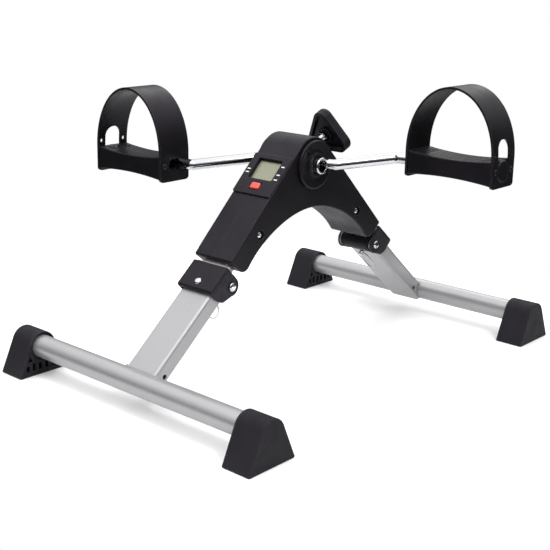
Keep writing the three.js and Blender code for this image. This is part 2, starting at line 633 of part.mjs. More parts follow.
// Seen from the side the flanks run from the base up to a round top over the bar.
const footSolid = () => {
  const half = FOOT_BASE / 2;
  const toCorner = Math.hypot(half, BAR_HEIGHT);
  const start = Math.acos(FOOT_TOP / toCorner) - Math.atan2(BAR_HEIGHT, half);
  const blunt = 1.4;
  const shape = new THREE.Shape();
  shape.moveTo(-half + blunt, -BAR_HEIGHT);
  shape.lineTo(half - blunt, -BAR_HEIGHT);
  shape.lineTo(half, -BAR_HEIGHT + blunt);
  shape.absarc(0, 0, FOOT_TOP, start, Math.PI - start, false);
  shape.lineTo(-half, -BAR_HEIGHT + blunt);
  shape.closePath();
  const pockets = FOOT_POCKETS.flatMap(([middle, top]) => [-middle, middle].map((y) =>
    block([-1, 10], [y - POCKET_HALF, y + POCKET_HALF], [POCKET_FLOOR, top])));
  return cut(
    prism(shape, 0, FOOT_LENGTH, { curveSegments: 8, bevel: 0.8 }),
    rod(BAR_RADIUS + GAP, -5, FOOT_LENGTH - 4, 28),
    ...pockets);
};

const RING_SIDES = 6;

// A ring about the Y axis.
const ringSolid = (radius, wire) => {
  const section = Array.from({ length: RING_SIDES + 1 }, (_, i) => {
    const angle = (i * 2 * Math.PI) / RING_SIDES;
    return new THREE.Vector2(radius + wire * Math.cos(angle), wire * Math.sin(angle));
  });
  return toSolid(new THREE.LatheGeometry(section, 18));
};

const SPRING_TURNS = 4;
const STEPS_PER_TURN = 6;

const lockSpring = (from, to) => {
  const steps = SPRING_TURNS * STEPS_PER_TURN;
  const points = Array.from({ length: steps + 1 }, (_, i) => {
    const angle = (i / steps) * SPRING_TURNS * 2 * Math.PI;
    return new THREE.Vector3(4.6 * Math.cos(angle), 4.6 * Math.sin(angle), from + ((to - from) * i) / steps);
  });
  return tube(points, 0.5, 4);
};

const RING_RADIUS = 11;
const PIN_EYE = -8.6;               // height of the pull ring's hole, seen from the hinge

const addLeg = (parent, name, [plusFoot, minusFoot], ringYaw, ringDrop) => {
  add(parent, `${name}_leg_tube`, legTube(), SILVER_PAINT);
  const barrel = cut(rod(BARREL_RADIUS, -19.9, 19.9, 24), rod(BOLT_BORE, -30, 30));
  add(parent, `${name}_hinge_barrel`, barrel, BLACK_PLASTIC);
  const bar = subgroup(parent, [0, BAR_U, BAR_N], { slope: -LEG_SLOPE });
  const barEnd = WIDTH_OVER_FEET / 2 - 4 - GAP;
  add(bar, `${name}_floor_bar`, ring(BAR_RADIUS - 1.5, BAR_RADIUS, -barEnd, barEnd, 28), SILVER_PAINT);
  const foot = footSolid();
  const footAt = WIDTH_OVER_FEET / 2 - FOOT_LENGTH;
  add(bar, plusFoot, moved(foot, footAt, 0, 0), DARK_RUBBER);
  add(bar, minusFoot, moved(aboutZ(foot, Math.PI), -footAt, 0, 0), DARK_RUBBER);

  const lock = subgroup(parent, [0, -LOCK_DISTANCE, 0]);
  const eye = aboutZ(rod(1.8, -10, 10, 12), ringYaw);
  const pin = turned([[-11.6, 0], [-11.6, 2.2], [-10.8, 3], [11.9, 3], [11.9, 4.4], [13.1, 4.4],
    [13.1, 3], [16, 3], [17.2, 2], [17.2, 0]], 16);
  add(lock, `${name}_lock_pin`, cut(upright(pin), moved(eye, 0, 0, PIN_EYE)), CHROME);
  add(lock, `${name}_lock_spring`, lockSpring(-1.4, 5), ZINC);

  // The ring lies in the plane of its hole's axis and the way it hangs.
  const hanging = subgroup(lock, [0, 0, PIN_EYE], { turn: ringYaw });
  const flat = moved(aboutX(ringSolid(RING_RADIUS, 0.9), QUARTER), 0, -RING_RADIUS, 0);
  add(hanging, `${name}_pull_ring`, aboutX(flat, ringDrop), CHROME);
};

const coverOutline = () => {
  const shape = new THREE.Shape();
  const round = 10.8;
  shape.moveTo(9.6, 21.4);
  shape.lineTo(-22.6, 21.4);
  shape.quadraticCurveTo(-24.6, 21.4, -24.6, 19.4);
  shape.lineTo(-23.4, 4.2);
  shape.quadraticCurveTo(-19, -3.4, round * Math.cos(-128 * DEG), round * Math.sin(-128 * DEG));
  shape.absarc(0, 0, round, -128 * DEG, 8 * DEG, false);
  shape.lineTo(9.6, 19.4);
  shape.closePath();
  return shape;
};

const addHinge = (parent, name, boltTurn) => {
  const half = 24.8;
  const inner = EAR_INNER + EAR_THICK + GAP;
  const shell = prism(coverOutline(), -half, half, { curveSegments: 7, bevel: 0.8 });
  const cover = cut(
    shell,
    block([-inner, inner], [-40, 30], [-40, WEB[1] + GAP]),
    rod(BOLT_BORE, -40, 40),
    ...rodPair(5.6, half - 0.5, 40, 16),
    moved(upright(rod(3.1, 15, 30, 12)), 0, -LOCK_DISTANCE, 0));
  add(parent, `${name}_hinge_cover`, cover, BLACK_PLASTIC);
  const bolt = turned([[-27.9, 0], [-27.9, 3], [24.9, 3], [24.9, 4.8], [26.6, 4.2], [27.4, 2.6], [27.4, 0]]);
  const socket = prism(hexagon(1.9), 26, 29);
  add(parent, `${name}_hinge_bolt`, aboutZ(cut(bolt, socket), boltTurn), CHROME);
  const nut = moved(hexNut(5.4, 3.3, 0, 2.2), -27.2, 0, 0);
  add(parent, `${name}_hinge_nut`, aboutZ(nut, boltTurn), ZINC);
  const rivet = upright(turned([
    [17.6, 0], [17.6, 2.7], [21.7, 2.7], [21.7, 4.2], [22.7, 3.4], [23.3, 1.6], [23.3, 0]]));
  add(parent, `${name}_cover_rivet`, moved(rivet, 0, -LOCK_DISTANCE, 0), CHROME);
};

// ---------------------------------------------------------------- assembly
addShells(group);
addShellBolts(group);
addFrame(group);
addHubCovers(group);
addCrank(group);
addTension(group);
addConsole(group);
addPedal(group, 'right', 0);
addPedal(group, 'left', Math.PI);

// The far end is the near one turned half round, so its feet swap sides; both bolt heads face +X.
const ENDS = [
  { name: 'near', turn: 0, feet: ['near_right_foot', 'near_left_foot'], ringYaw: 0, ringDrop: 49 * DEG },
  {
    name: 'far', turn: Math.PI, feet: ['far_left_foot', 'far_right_foot'],
    ringYaw: -48 * DEG, ringDrop: 22 * DEG,
  },
];
for (const { name, turn, feet, ringYaw, ringDrop } of ENDS) {
  const hinge = subgroup(group, [0, -HINGE_Y, HINGE_Z], { turn, slope: LEG_SLOPE });
  addHinge(hinge, name, turn);
  addLeg(hinge, name, feet, ringYaw, ringDrop);
}

export default group;
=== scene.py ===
"""A folding pedal exerciser: its looks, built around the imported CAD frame.

Shapes are drawn in millimetres, each in the frame of the sub-assembly it belongs to, and are
brought into the row frame, in metres, when a piece is placed.
"""

import json
import math

import bmesh
import bpy
from mathutils import Matrix, Vector


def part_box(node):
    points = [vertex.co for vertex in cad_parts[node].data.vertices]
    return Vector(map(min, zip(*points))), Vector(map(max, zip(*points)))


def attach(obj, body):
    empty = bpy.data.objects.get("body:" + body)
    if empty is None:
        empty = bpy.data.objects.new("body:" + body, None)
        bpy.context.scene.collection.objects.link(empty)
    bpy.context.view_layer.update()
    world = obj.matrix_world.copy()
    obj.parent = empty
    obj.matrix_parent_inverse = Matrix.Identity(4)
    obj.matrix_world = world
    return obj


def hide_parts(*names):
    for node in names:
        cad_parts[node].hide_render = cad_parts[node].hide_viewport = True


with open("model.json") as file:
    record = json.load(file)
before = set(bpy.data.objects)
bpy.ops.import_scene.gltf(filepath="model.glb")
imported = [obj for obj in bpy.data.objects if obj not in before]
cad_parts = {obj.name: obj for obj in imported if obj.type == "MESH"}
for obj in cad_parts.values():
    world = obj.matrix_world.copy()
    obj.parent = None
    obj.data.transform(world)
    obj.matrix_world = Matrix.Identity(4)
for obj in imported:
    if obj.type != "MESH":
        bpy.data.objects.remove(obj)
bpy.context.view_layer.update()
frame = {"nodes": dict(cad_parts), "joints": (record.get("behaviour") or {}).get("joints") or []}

# ---------------------------------------- places, from the frame
MM = 0.001
JOINTS = {joint["name"]: joint for joint in frame["joints"]}


def joint_point(name):
    return Vector(JOINTS[name]["pos_m"]) / MM


def joint_axis(name):
    return Vector(JOINTS[name]["axis"]).normalized()


def box_centre(node):
    low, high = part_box(node)
    return (low + high) / (2 * MM)


def turn(degrees, axis):
    return Matrix.Rotation(math.radians(degrees), 4, axis)


def shift(x, y, z):
    return Matrix.Translation((x, y, z))


HALF_TURN = turn(180, "Z")
MIRROR = Matrix.Scale(-1, 4, (1, 0, 0))


def slope_of(direction):
    """Degrees about X that tilt +Z onto this direction in the YZ plane."""
    return math.degrees(math.atan2(-direction.y, direction.z))


CRANK = joint_point("crank_spin")
RIGHT_SPINDLE = joint_point("right_pedal_spin")
LEFT_SPINDLE = joint_point("left_pedal_spin")
NEAR_HINGE = joint_point("near_leg_fold")
RING_HOLE = joint_point("near_ring_swing")
LEG_SLOPE = slope_of(-joint_axis("near_lock_pull"))
KNOB_TILT = slope_of(joint_axis("tension_travel")) + 90
CONSOLE_SLOPE = slope_of(-joint_axis("reset_button_press"))

AT_CRANK = Matrix.Translation(CRANK)
AT_SCREW = AT_CRANK @ turn(KNOB_TILT, "X") @ turn(90, "Z")
PEDALS = {
    "right": Matrix.Translation(RIGHT_SPINDLE),
    "left": Matrix.Translation(LEFT_SPINDLE) @ HALF_TURN,
}
NEAR_PLACE = Matrix.Translation(NEAR_HINGE) @ turn(LEG_SLOPE, "X")
HINGES = {"near": NEAR_PLACE, "far": HALF_TURN @ NEAR_PLACE}
HUB_ENDS = {"right": AT_CRANK, "left": AT_CRANK @ HALF_TURN}

# ---------------------------------------- meshes
AXES = {
    "X": Matrix(((0, 0, 1), (1, 0, 0), (0, 1, 0))),
    "Y": Matrix(((1, 0, 0), (0, 0, 1), (0, 1, 0))),
    "Z": Matrix(((1, 0, 0), (0, 1, 0), (0, 0, 1))),
}


def new_piece(points, faces):
    """A closed mesh object from points in millimetres, with its faces pointing out."""
    mesh = bpy.data.meshes.new("piece")
    mesh.from_pydata([tuple(point) for point in points], [], faces)
    skin = bmesh.new()
    skin.from_mesh(mesh)
    bmesh.ops.recalc_face_normals(skin, faces=skin.faces)
    skin.to_mesh(mesh)
    skin.free()
    piece = bpy.data.objects.new("piece", mesh)
    bpy.context.scene.collection.objects.link(piece)
    return piece


def moved(piece, place):
    piece.data.transform(place)
    return piece


MERGE_DISTANCE = 0.002          # points nearer than this are one
BEVEL_ANGLE = 34                # edges sharper than this are rounded
SMOOTH_ANGLE = 38               # and edges sharper than this are shaded sharp


def cleaned(piece):
    """Merges points and drops edges that a boolean left on top of each other."""
    skin = bmesh.new()
    skin.from_mesh(piece.data)
    bmesh.ops.remove_doubles(skin, verts=skin.verts, dist=MERGE_DISTANCE)
    bmesh.ops.dissolve_degenerate(skin, dist=MERGE_DISTANCE, edges=skin.edges)
    skin.to_mesh(piece.data)
    skin.free()
    return piece


def bake(piece):
    """Applies the modifiers of a piece to its mesh."""
    depsgraph = bpy.context.evaluated_depsgraph_get()
    mesh = bpy.data.meshes.new_from_object(piece.evaluated_get(depsgraph))
    piece.modifiers.clear()
    piece.data = mesh
    return piece


def combine(piece, tools, operation):
    """Runs one boolean a tool, and uses the tools up."""
    for tool in tools:
        modifier = piece.modifiers.new("combine", "BOOLEAN")
        modifier.operation = operation
        modifier.solver = "EXACT"
        modifier.object = tool
    bake(piece)
    for tool in tools:
        bpy.data.objects.remove(tool)
    return piece


def cut(piece, *tools):
    return combine(piece, tools, "DIFFERENCE")


def weld(piece, *tools):
    return combine(piece, tools, "UNION")


def common(piece, tool):
    return combine(piece, [tool], "INTERSECT")


def soften(piece, width, segments):
    """Rounds the sharp edges of a piece."""
    modifier = piece.modifiers.new("soften", "BEVEL")
    modifier.width = width
    modifier.segments = segments
    modifier.limit_method = "ANGLE"
    modifier.angle_limit = math.radians(BEVEL_ANGLE)
    modifier.use_clamp_overlap = True
    return bake(piece)


def fillet(corners, closed=True, step=9):
    """Points of a line whose corners (a, b, radius) are rounded; (a, b) stays sharp."""
    points = []
    last = len(corners) - 1
    for index, corner in enumerate(corners):
        here = Vector(corner[:2])
        if len(corner) < 3 or (not closed and index in (0, last)):
            points.append(here)
            continue
        back = (Vector(corners[index - 1][:2]) - here).normalized()
        ahead = (Vector(corners[(index + 1) % len(corners)][:2]) - here).normalized()
        half = back.angle(ahead) / 2
        centre = here + (back + ahead).normalized() * (corner[2] / math.sin(half))
        spoke = here + back * (corner[2] / math.tan(half)) - centre
        side = 1 if ahead.cross(back) > 0 else -1
        sweep = side * (math.pi - 2 * half)
        steps = max(2, math.ceil(math.degrees(abs(sweep)) / step))
        for number in range(steps + 1):
            points.append(centre + Matrix.Rotation(sweep * number / steps, 2) @ spoke)
    return points


def arc(centre, radii, start, end, steps):
    """Points of an elliptical arc between two angles in degrees."""
    angles = [math.radians(start + (end - start) * i / steps) for i in range(steps + 1)]
    return [
        Vector((centre[0] + radii[0] * math.cos(a), centre[1] + radii[1] * math.sin(a)))
        for a in angles
    ]


def curve(start, pull, push, end, steps):
    """Points of a Bezier curve, without its first."""
    ends = [Vector(point) for point in (start, pull, push, end)]
    points = []
    for index in range(1, steps + 1):
        t = index / steps
        weights = [(1 - t) ** 3, 3 * t * (1 - t) ** 2, 3 * t * t * (1 - t), t**3]
        points.append(sum((p * w for p, w in zip(ends, weights)), Vector((0, 0))))
    return points


def oblong(half_a, half_b, radius, centre=(0, 0)):
    """A rounded rectangle."""
    a, b = centre
    return fillet([
        (a - half_a, b - half_b, radius), (a + half_a, b - half_b, radius),
        (a + half_a, b + half_b, radius), (a - half_a, b + half_b, radius),
    ])


def hexagon(radius):
    return arc((0, 0), (radius, radius), 0, 300, 5)


def inset(outline, distance):
    """The outline moved inwards, with its corners kept."""
    points = []
    for index, here in enumerate(outline):
        before = (here - outline[index - 1]).normalized()
        after = (outline[(index + 1) % len(outline)] - here).normalized()
        inwards = Vector((-before.y - after.y, before.x + after.x))
        share = 1 + before.dot(after)
        points.append(here + inwards * (distance / max(share, 0.2)))
    return points


def rim(low, high, round_low, round_high, steps):
    """Heights and insets of a wall with a rounded top, and a rounded foot unless round_low is 0."""
    quarter = [math.pi / 2 * i / steps for i in range(steps + 1)]
    start = [(low + round_low * (1 - math.cos(a)), round_low * (1 - math.sin(a))) for a in quarter]
    end = [(high - round_high * (1 - math.cos(a)), round_high * (1 - math.sin(a))) for a in quarter]
    return (start if round_low else [(low, 0.0)]) + end[::-1]


def loft(outline, wall, along="X"):
    """An outline carried along an axis through a wall's heights and insets.

    Along X the outline is (y, z), along Y it is (x, z) and along Z it is (x, y).
    """
    axes = AXES[along]
    count = len(outline)
    points = []
    for height, distance in wall:
        ring = inset(outline, distance) if distance else outline
        points += [axes @ Vector((a, b, height)) for a, b in ring]
    faces = [list(range(count)), list(range(len(points) - count, len(points)))]
    for level in range(len(wall) - 1):
        for index in range(count):
            after = (index + 1) % count
            low, high = level * count, (level + 1) * count
            faces.append([low + index, low + after, high + after, high + index])
    return new_piece(points, faces)


def block(x, y, z):
    """A box between two values on each axis."""
    return loft([Vector(p) for p in ((x[0], y[0]), (x[1], y[0]), (x[1], y[1]), (x[0], y[1]))],
                [(z[0], 0), (z[1], 0)], "Z")


def turned(profile, along="X", segments=56):
    """A profile of (height, radius) turned about an axis; one off the axis closes on itself."""
    axes = AXES[along]
    on_axis = profile[0][1] == 0
    rings = profile[1:-1] if on_axis else profile
    points = []
    for height, radius in rings:
        for a, b in arc((0, 0), (radius, radius), 0, 360 - 360 / segments, segments - 1):
            points.append(axes @ Vector((a, b, height)))
    faces = []
    levels = len(rings)
    for level in range(levels - 1 if on_axis else levels):
        low, high = level * segments, (level + 1) % levels * segments
        for index in range(segments):
            after = (index + 1) % segments
            faces.append([low + index, low + after, high + after, high + index])
    if on_axis:
        for height, level in ((profile[0][0], 0), (profile[-1][0], levels - 1)):
            hub = len(points)
            points.append(axes @ Vector((0, 0, height)))
            start = level * segments
            for index in range(segments):
                faces.append([start + index, start + (index + 1) % segments, hub])
    return new_piece(points, faces)


def rod(radius, low, high, along="X", segments=40):
    return turned([(low, 0), (low, radius), (high, radius), (high, 0)], along, segments)


def tube(path, radius, sides, wobble=None):
    """A round section carried along points; wobble(index) scales it."""
    count = len(path)
    rings = []
    normal = None
    for index, here in enumerate(path):
        before = path[index - 1] if index else here
        after = path[index + 1] if index < count - 1 else here
        along = (after - before).normalized()
        normal = along.orthogonal() if normal is None else normal - along * normal.dot(along)
        normal.normalize()
        binormal = along.cross(normal)
        size = radius * (wobble(index) if wobble else 1)
        rings.append([
            here + (normal * math.cos(a) + binormal * math.sin(a)) * size
            for a in (2 * math.pi * i / sides for i in range(sides))
        ])
    points = [point for ring in rings for point in ring]
    faces = []
    for level in range(count - 1):
        low, high = level * sides, (level + 1) * sides
        for index in range(sides):
            after = (index + 1) % sides
            faces.append([low + index, low + after, high + after, high + index])
    faces += [list(range(sides)), list(range(len(points) - sides, len(points)))]
    return new_piece(points, faces)


def joined(pieces):
    """Several solids kept apart in one object."""
    first, *others = pieces
    skin = bmesh.new()
    for piece in pieces:
        skin.from_mesh(piece.data)
    skin.to_mesh(first.data)
    skin.free()
    for other in others:
        bpy.data.objects.remove(other)
    return first


# ---------------------------------------- materials
SOCKETS = {
    "specular": "Specular IOR Level",
    "tint": "Specular Tint",
    "coat": "Coat Weight",
    "coat_roughness": "Coat Roughness",
    "sheen": "Sheen Weight",
}


class Finish:
    """A node tree around one Principled shader, read in metres."""

    def __init__(self, name, **sockets):
        self.material = bpy.data.materials.new(name)
        self.material.use_nodes = True
        self.nodes = self.material.node_tree.nodes
        self.links = self.material.node_tree.links
        self.shader = self.nodes["Principled BSDF"]
        self.place = self.nodes.new("ShaderNodeTexCoord").outputs["Object"]
        for socket, value in sockets.items():
            self.shader.inputs[SOCKETS.get(socket, socket.title())].default_value = value

    def noise(self, size, detail=3.0, stretch=None):
        """Values around 0.5 that change over a size in metres."""
        texture = self.nodes.new("ShaderNodeTexNoise")
        texture.inputs["Scale"].default_value = 1 / size
        texture.inputs["Detail"].default_value = detail
        source = self.place
        if stretch:
            scaled = self.nodes.new("ShaderNodeMapping")
            scaled.inputs["Scale"].default_value = stretch
            self.links.new(source, scaled.inputs["Vector"])
            source = scaled.outputs["Vector"]
        self.links.new(source, texture.inputs["Vector"])
        return texture.outputs["Fac"]

    def cells(self, size):
        """Distance to the nearest grain of a pebbled surface."""
        texture = self.nodes.new("ShaderNodeTexVoronoi")
        texture.inputs["Scale"].default_value = 1 / size
        self.links.new(self.place, texture.inputs["Vector"])
        return texture.outputs["Distance"]

    def rescaled(self, value, low, high, to_low, to_high):
        """A value carried from one range to another."""
        node = self.nodes.new("ShaderNodeMapRange")
        settings = {"From Min": low, "From Max": high, "To Min": to_low, "To Max": to_high}
        for socket, setting in settings.items():
            node.inputs[socket].default_value = setting
        self.links.new(value, node.inputs["Value"])
        return node.outputs["Result"]

    def product(self, first, second):
        node = self.nodes.new("ShaderNodeMath")
        node.operation = "MULTIPLY"
        self.links.new(first, node.inputs[0])
        self.links.new(second, node.inputs[1])
        return node.outputs["Value"]

    def blend(self, factor, first, second):
        """A colour between two, each a tuple or a socket."""
        node = self.nodes.new("ShaderNodeMix")
        node.data_type = "RGBA"
        self.links.new(factor, node.inputs["Factor"])
        for socket, colour in ((node.inputs[6], first), (node.inputs[7], second)):
            if isinstance(colour, tuple):
                socket.default_value = (*colour, 1)
            else:
                self.links.new(colour, socket)
        return node.outputs[2]

    def edge_wear_and_highlight_mask(self, reach, amount):
        """A mask that grows towards outer edges, broken up by noise: edge wear, and on the black mouldings a
        painted edge highlight as well.
        """
        inside = self.nodes.new("ShaderNodeAmbientOcclusion")
        inside.inside = True
        inside.only_local = True
        inside.samples = 6
        inside.inputs["Distance"].default_value = reach
        edge = self.rescaled(inside.outputs["AO"], 0.95, 0.45, 0, amount)
        return self.product(edge, self.rescaled(self.noise(0.006), 0.35, 0.65, 0.35, 1))

    def colour(self, socket):
        self.links.new(socket, self.shader.inputs["Base Color"])

    def roughness(self, socket):
        self.links.new(socket, self.shader.inputs["Roughness"])

    def bumps(self, *layers):
        """Height layers of (socket, depth in metres), stacked on the surface."""
        normal = None
        for height, depth in layers:
            bump = self.nodes.new("ShaderNodeBump")
            bump.inputs["Strength"].default_value = 1
            bump.inputs["Distance"].default_value = depth
            self.links.new(height, bump.inputs["Height"])
            if normal:
                self.links.new(normal, bump.inputs["Normal"])
            normal = bump.outputs["Normal"]
        self.links.new(normal, self.shader.inputs["Normal"])


COOL = (0.92, 0.84, 1.0, 1.0)   # tint of the light that black mouldings throw back


def shade(colour, factor):
    return tuple(channel * factor for channel in colour)


def moulded_plastic(name, colour, roughness, grain, depth):
    """Black moulding with a fine spark-eroded grain, and edges painted lighter: a painted highlight, with
    some wear.
    """
    finish = Finish(name, specular=0.18, tint=COOL)
    tone = finish.blend(
        finish.rescaled(finish.noise(0.05), 0.35, 0.65, 0, 1), shade(colour, 0.85), shade(colour, 1.2))
    # Edges painted seven times lighter: a painted highlight where the rounded edges catch the light, with
    # some edge wear.
    edge_wear_and_highlight = finish.edge_wear_and_highlight_mask(0.002, 0.5)
    finish.colour(finish.blend(edge_wear_and_highlight, tone, shade(colour, 7)))
    finish.roughness(
        finish.rescaled(finish.noise(0.02, 5), 0.3, 0.7, roughness - 0.06, roughness + 0.06))
    finish.bumps((finish.cells(grain), depth), (finish.noise(0.012), depth * 0.8))
    return finish.material


def rubber(name, colour):
    """Dull black rubber with a pebbled skin, lighter towards its outer edges."""
    finish = Finish(name, specular=0.2, tint=COOL)
    tone = finish.blend(
        finish.rescaled(finish.noise(0.03, 5), 0.35, 0.65, 0, 1), shade(colour, 0.8), shade(colour, 1.25))
    edge_wear_and_highlight = finish.edge_wear_and_highlight_mask(0.0025, 0.6)
    finish.colour(finish.blend(edge_wear_and_highlight, tone, shade(colour, 4)))
    finish.roughness(finish.rescaled(finish.noise(0.015), 0.3, 0.7, 0.62, 0.82))
    finish.bumps((finish.cells(0.0009), 0.00006), (finish.noise(0.008), 0.00012))
    return finish.material


def powder_coat(name, colour):
    """Silver paint: metal flakes under a slightly rippled clear coat."""
    finish = Finish(name, metallic=0.55, coat=0.25, coat_roughness=0.2)
    flakes = finish.rescaled(finish.cells(0.0005), 0.1, 0.6, 0, 1)
    tone = finish.blend(flakes, shade(colour, 1.06), shade(colour, 0.94))
    clouded = finish.blend(
        finish.rescaled(finish.noise(0.06), 0.3, 0.7, 0, 0.25), tone, shade(colour, 0.86))
    finish.colour(finish.blend(finish.edge_wear_and_highlight_mask(0.0015, 0.3), clouded, shade(colour, 1.35)))
    finish.roughness(finish.rescaled(finish.noise(0.004, 4), 0.3, 0.7, 0.32, 0.42))
    finish.bumps((finish.noise(0.0016), 0.00003), (finish.cells(0.0005), 0.000006))
    return finish.material


def plated(name, colour, roughness, streaks):
    """Polished plating with hairline marks from handling."""
    finish = Finish(name, metallic=1.0)
    hazy = finish.rescaled(finish.noise(0.03, 5), 0.4, 0.7, 0, 1)
    finish.colour(finish.blend(hazy, colour, shade(colour, 0.92)))
    hairlines = finish.noise(0.0012, 2, stretch=(0.08, 1, 1))
    finish.roughness(finish.rescaled(hairlines, 0.3, 0.7, roughness * 0.7, roughness * 1.6))
    finish.bumps((hairlines, streaks), (finish.noise(0.02), streaks * 4))
    return finish.material


def display_glass(name, colour):
    """A liquid-crystal pane: faint columns of unlit segments under a clear window."""
    finish = Finish(name, specular=0.3, coat=0.6, coat_roughness=0.04)
    columns = finish.noise(0.0011, 0, stretch=(1, 0.05, 0.05))
    ghost = finish.rescaled(columns, 0.35, 0.65, 0, 0.35)
    clouded = finish.product(ghost, finish.rescaled(finish.noise(0.01), 0.3, 0.7, 0.3, 1))
    finish.colour(finish.blend(clouded, colour, shade(colour, 0.9)))
    finish.roughness(finish.rescaled(finish.noise(0.006), 0.3, 0.7, 0.26, 0.36))
    return finish.material


def glossy_plastic(name, colour):
    """Smooth coloured plastic under a thin gloss."""
    finish = Finish(name, coat=0.3, coat_roughness=0.15)
    tone = finish.rescaled(finish.noise(0.004, 3), 0.3, 0.7, 0, 1)
    finish.colour(finish.blend(tone, shade(colour, 0.94), shade(colour, 1.06)))
    finish.roughness(finish.rescaled(finish.noise(0.002), 0.3, 0.7, 0.25, 0.36))
    finish.bumps((finish.noise(0.0012), 0.00001))
    return finish.material


def felt(name, colour):
    """Matted fibres that mostly run one way."""
    finish = Finish(name, roughness=0.95, sheen=0.5)
    fibres = finish.noise(0.0006, 6, stretch=(1, 0.3, 1))
    finish.colour(finish.blend(fibres, shade(colour, 0.6), shade(colour, 1.5)))
    finish.bumps((fibres, 0.0003))
    return finish.material


SLOTS = {
    "body_plastic": moulded_plastic("body_plastic", (0.0062, 0.0056, 0.0071), 0.42, 0.0007, 0.00003),
    "pedal_plastic": moulded_plastic("pedal_plastic", (0.0062, 0.0056, 0.0071), 0.38, 0.0009, 0.00002),
    "foot_rubber": rubber("foot_rubber", (0.0095, 0.009, 0.0105)),
    "silver_paint": powder_coat("silver_paint", (0.34, 0.335, 0.345)),
    "chrome": plated("chrome", (0.5, 0.505, 0.52), 0.07, 0.0000015),
    "zinc": plated("zinc", (0.45, 0.46, 0.48), 0.3, 0.000004),
    "nylon": glossy_plastic("nylon", (0.7, 0.68, 0.62)),
    "felt": felt("felt", (0.11, 0.08, 0.05)),
    "screen": display_glass("screen", (0.215, 0.22, 0.145)),
    "red_plastic": glossy_plastic("red_plastic", (0.62, 0.045, 0.03)),
    "board": glossy_plastic("board", (0.02, 0.14, 0.06)),
}


def place(piece, name, where, body, slot, *replaced):
    """Puts a finished shape where it belongs and gives it its body and material."""
    cleaned(piece)
    piece.name = name
    scaled = Matrix.Scale(MM, 4) @ where
    piece.data.transform(scaled)
    if where.determinant() < 0:
        piece.data.flip_normals()
    piece.data.shade_smooth()
    piece.data.set_sharp_from_angle(angle=math.radians(SMOOTH_ANGLE))
    weighted = piece.modifiers.new("weighted", "WEIGHTED_NORMAL")
    weighted.keep_sharp = True
    bake(piece)
    piece.data.name = name
    piece.data.materials.clear()
    piece.data.materials.append(SLOTS[slot])
    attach(piece, body)
    if replaced:
        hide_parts(*replaced)
    return piece


# ---------------------------------------- body shells
BODY_HALF_WIDTH = 27
APEX_RADIUS = 30.5
WALL = 2.5
GAP = 0.15                      # half the seam between the shells
ARM_SLOPE = 38.9                # degrees down from level
ARM_PORT = (15.5, 7.5)          # half width and half height of the arm's way out
SHELL_BOLT = (83.3, 159.7)      # y and z
ARCH_TOP = 176.7                # height of the arch under the body
ARCH_PULL = 40                  # handles of its curve: level at the top, and
ARCH_SHOULDER = (80, 153)       # this point for the heel


def body_outline(rounded):
    """The arch from the side. Both slopes run at 45 degrees from the round top."""
    height = CRANK.z
    tip, toe, heel, shoulder = (129.3, 138.6), (107, 120.6), (98, 131.4), ARCH_SHOULDER
    soft = [(2.4,), (9.5,)] if rounded else [(), ()]
    left = [(-tip[0], tip[1], *soft[0]), (-toe[0], toe[1], *soft[1]), (-heel[0], heel[1])]
    right = [(heel[0], heel[1]), (toe[0], toe[1], *soft[1]), (tip[0], tip[1], *soft[0])]
    top = arc((0, height), (APEX_RADIUS, APEX_RADIUS), 45, 135, 30)
    down = fillet([top[-1], *left, (-shoulder[0], shoulder[1])], closed=False)[1:-1]
    arch = curve((-heel[0], heel[1]), (-shoulder[0], shoulder[1]), (-ARCH_PULL, ARCH_TOP), (0, ARCH_TOP), 26)
    arch += curve((0, ARCH_TOP), (ARCH_PULL, ARCH_TOP), shoulder, heel, 26)
    up = fillet([shoulder, *right, top[0]], closed=False)[2:-1]
    return top + down + arch + up


def in_arm(side, x, along, z):
    """A box in the frame of a steel arm, whose length runs from the crank axis."""
    y = along if side > 0 else (-along[1], -along[0])
    return moved(block(x, y, z), AT_CRANK @ turn(-side * ARM_SLOPE, "X"))


def console_place():
    """The middle of the console's face, found from the reset button."""
    button_offset = Vector((0, BUTTON_Y, BUTTON_TOP / 2))
    tilt = turn(CONSOLE_SLOPE, "X")
    return Matrix.Translation(box_centre("reset_button") - tilt @ button_offset) @ tilt


CAP_HALF = (26.6, 26.5)         # the console's face plate
CAP_DROP = 1.1                  # its middle, below the middle of the tray
SCREEN_Y = (-6.9, 18.7)
SCREEN_HALF = 16.3
SCREEN_HALF_Y = (SCREEN_Y[1] - SCREEN_Y[0]) / 2
SCREEN_MIDDLE = (SCREEN_Y[1] + SCREEN_Y[0]) / 2
BUTTON_Y = -16.4
BUTTON_TOP = 3.3
AT_CONSOLE = console_place()


def shell():
    """The right half, open towards the seam, with a boss for each clamping bolt."""
    skin = loft(body_outline(True), rim(GAP, BODY_HALF_WIDTH, 0.3, 1.8, 5))
    room = loft(inset(body_outline(False), WALL), [(-5, 0), (BODY_HALF_WIDTH - WALL, 0)])
    cut(skin, room)
    bolt_y, bolt_z = SHELL_BOLT
    for side in (-1, 1):
        weld(skin, moved(rod(7, 15.6, 24.8), shift(0, side * bolt_y, bolt_z)))
    tools = [
        in_arm(side, (-ARM_PORT[0], ARM_PORT[0]), (115, 175), (-ARM_PORT[1], ARM_PORT[1]))
        for side in (-1, 1)
    ]
    tools.append(moved(loft(oblong(22.5, 22.5, 2), [(-9, 0), (9, 0)], "Z"), AT_CONSOLE))
    tools.append(moved(rod(5, 20, 50), AT_SCREW))
    tools.append(moved(rod(10, -5, 40), AT_CRANK))
    for side in (-1, 1):
        spot = shift(0, side * bolt_y, bolt_z)
        tools.append(moved(rod(2.4, 0, 30), spot))
        well = [(23, 0), (23, 4.9), (26.4, 4.9), (27.6, 6.1), (27.6, 0)]
        tools.append(moved(turned(well), spot))
    return cut(skin, *tools)


place(shell(), "right_shell", Matrix(), "frame", "body_plastic", "shell_right")
place(shell(), "left_shell", MIRROR, "frame", "body_plastic", "shell_left")


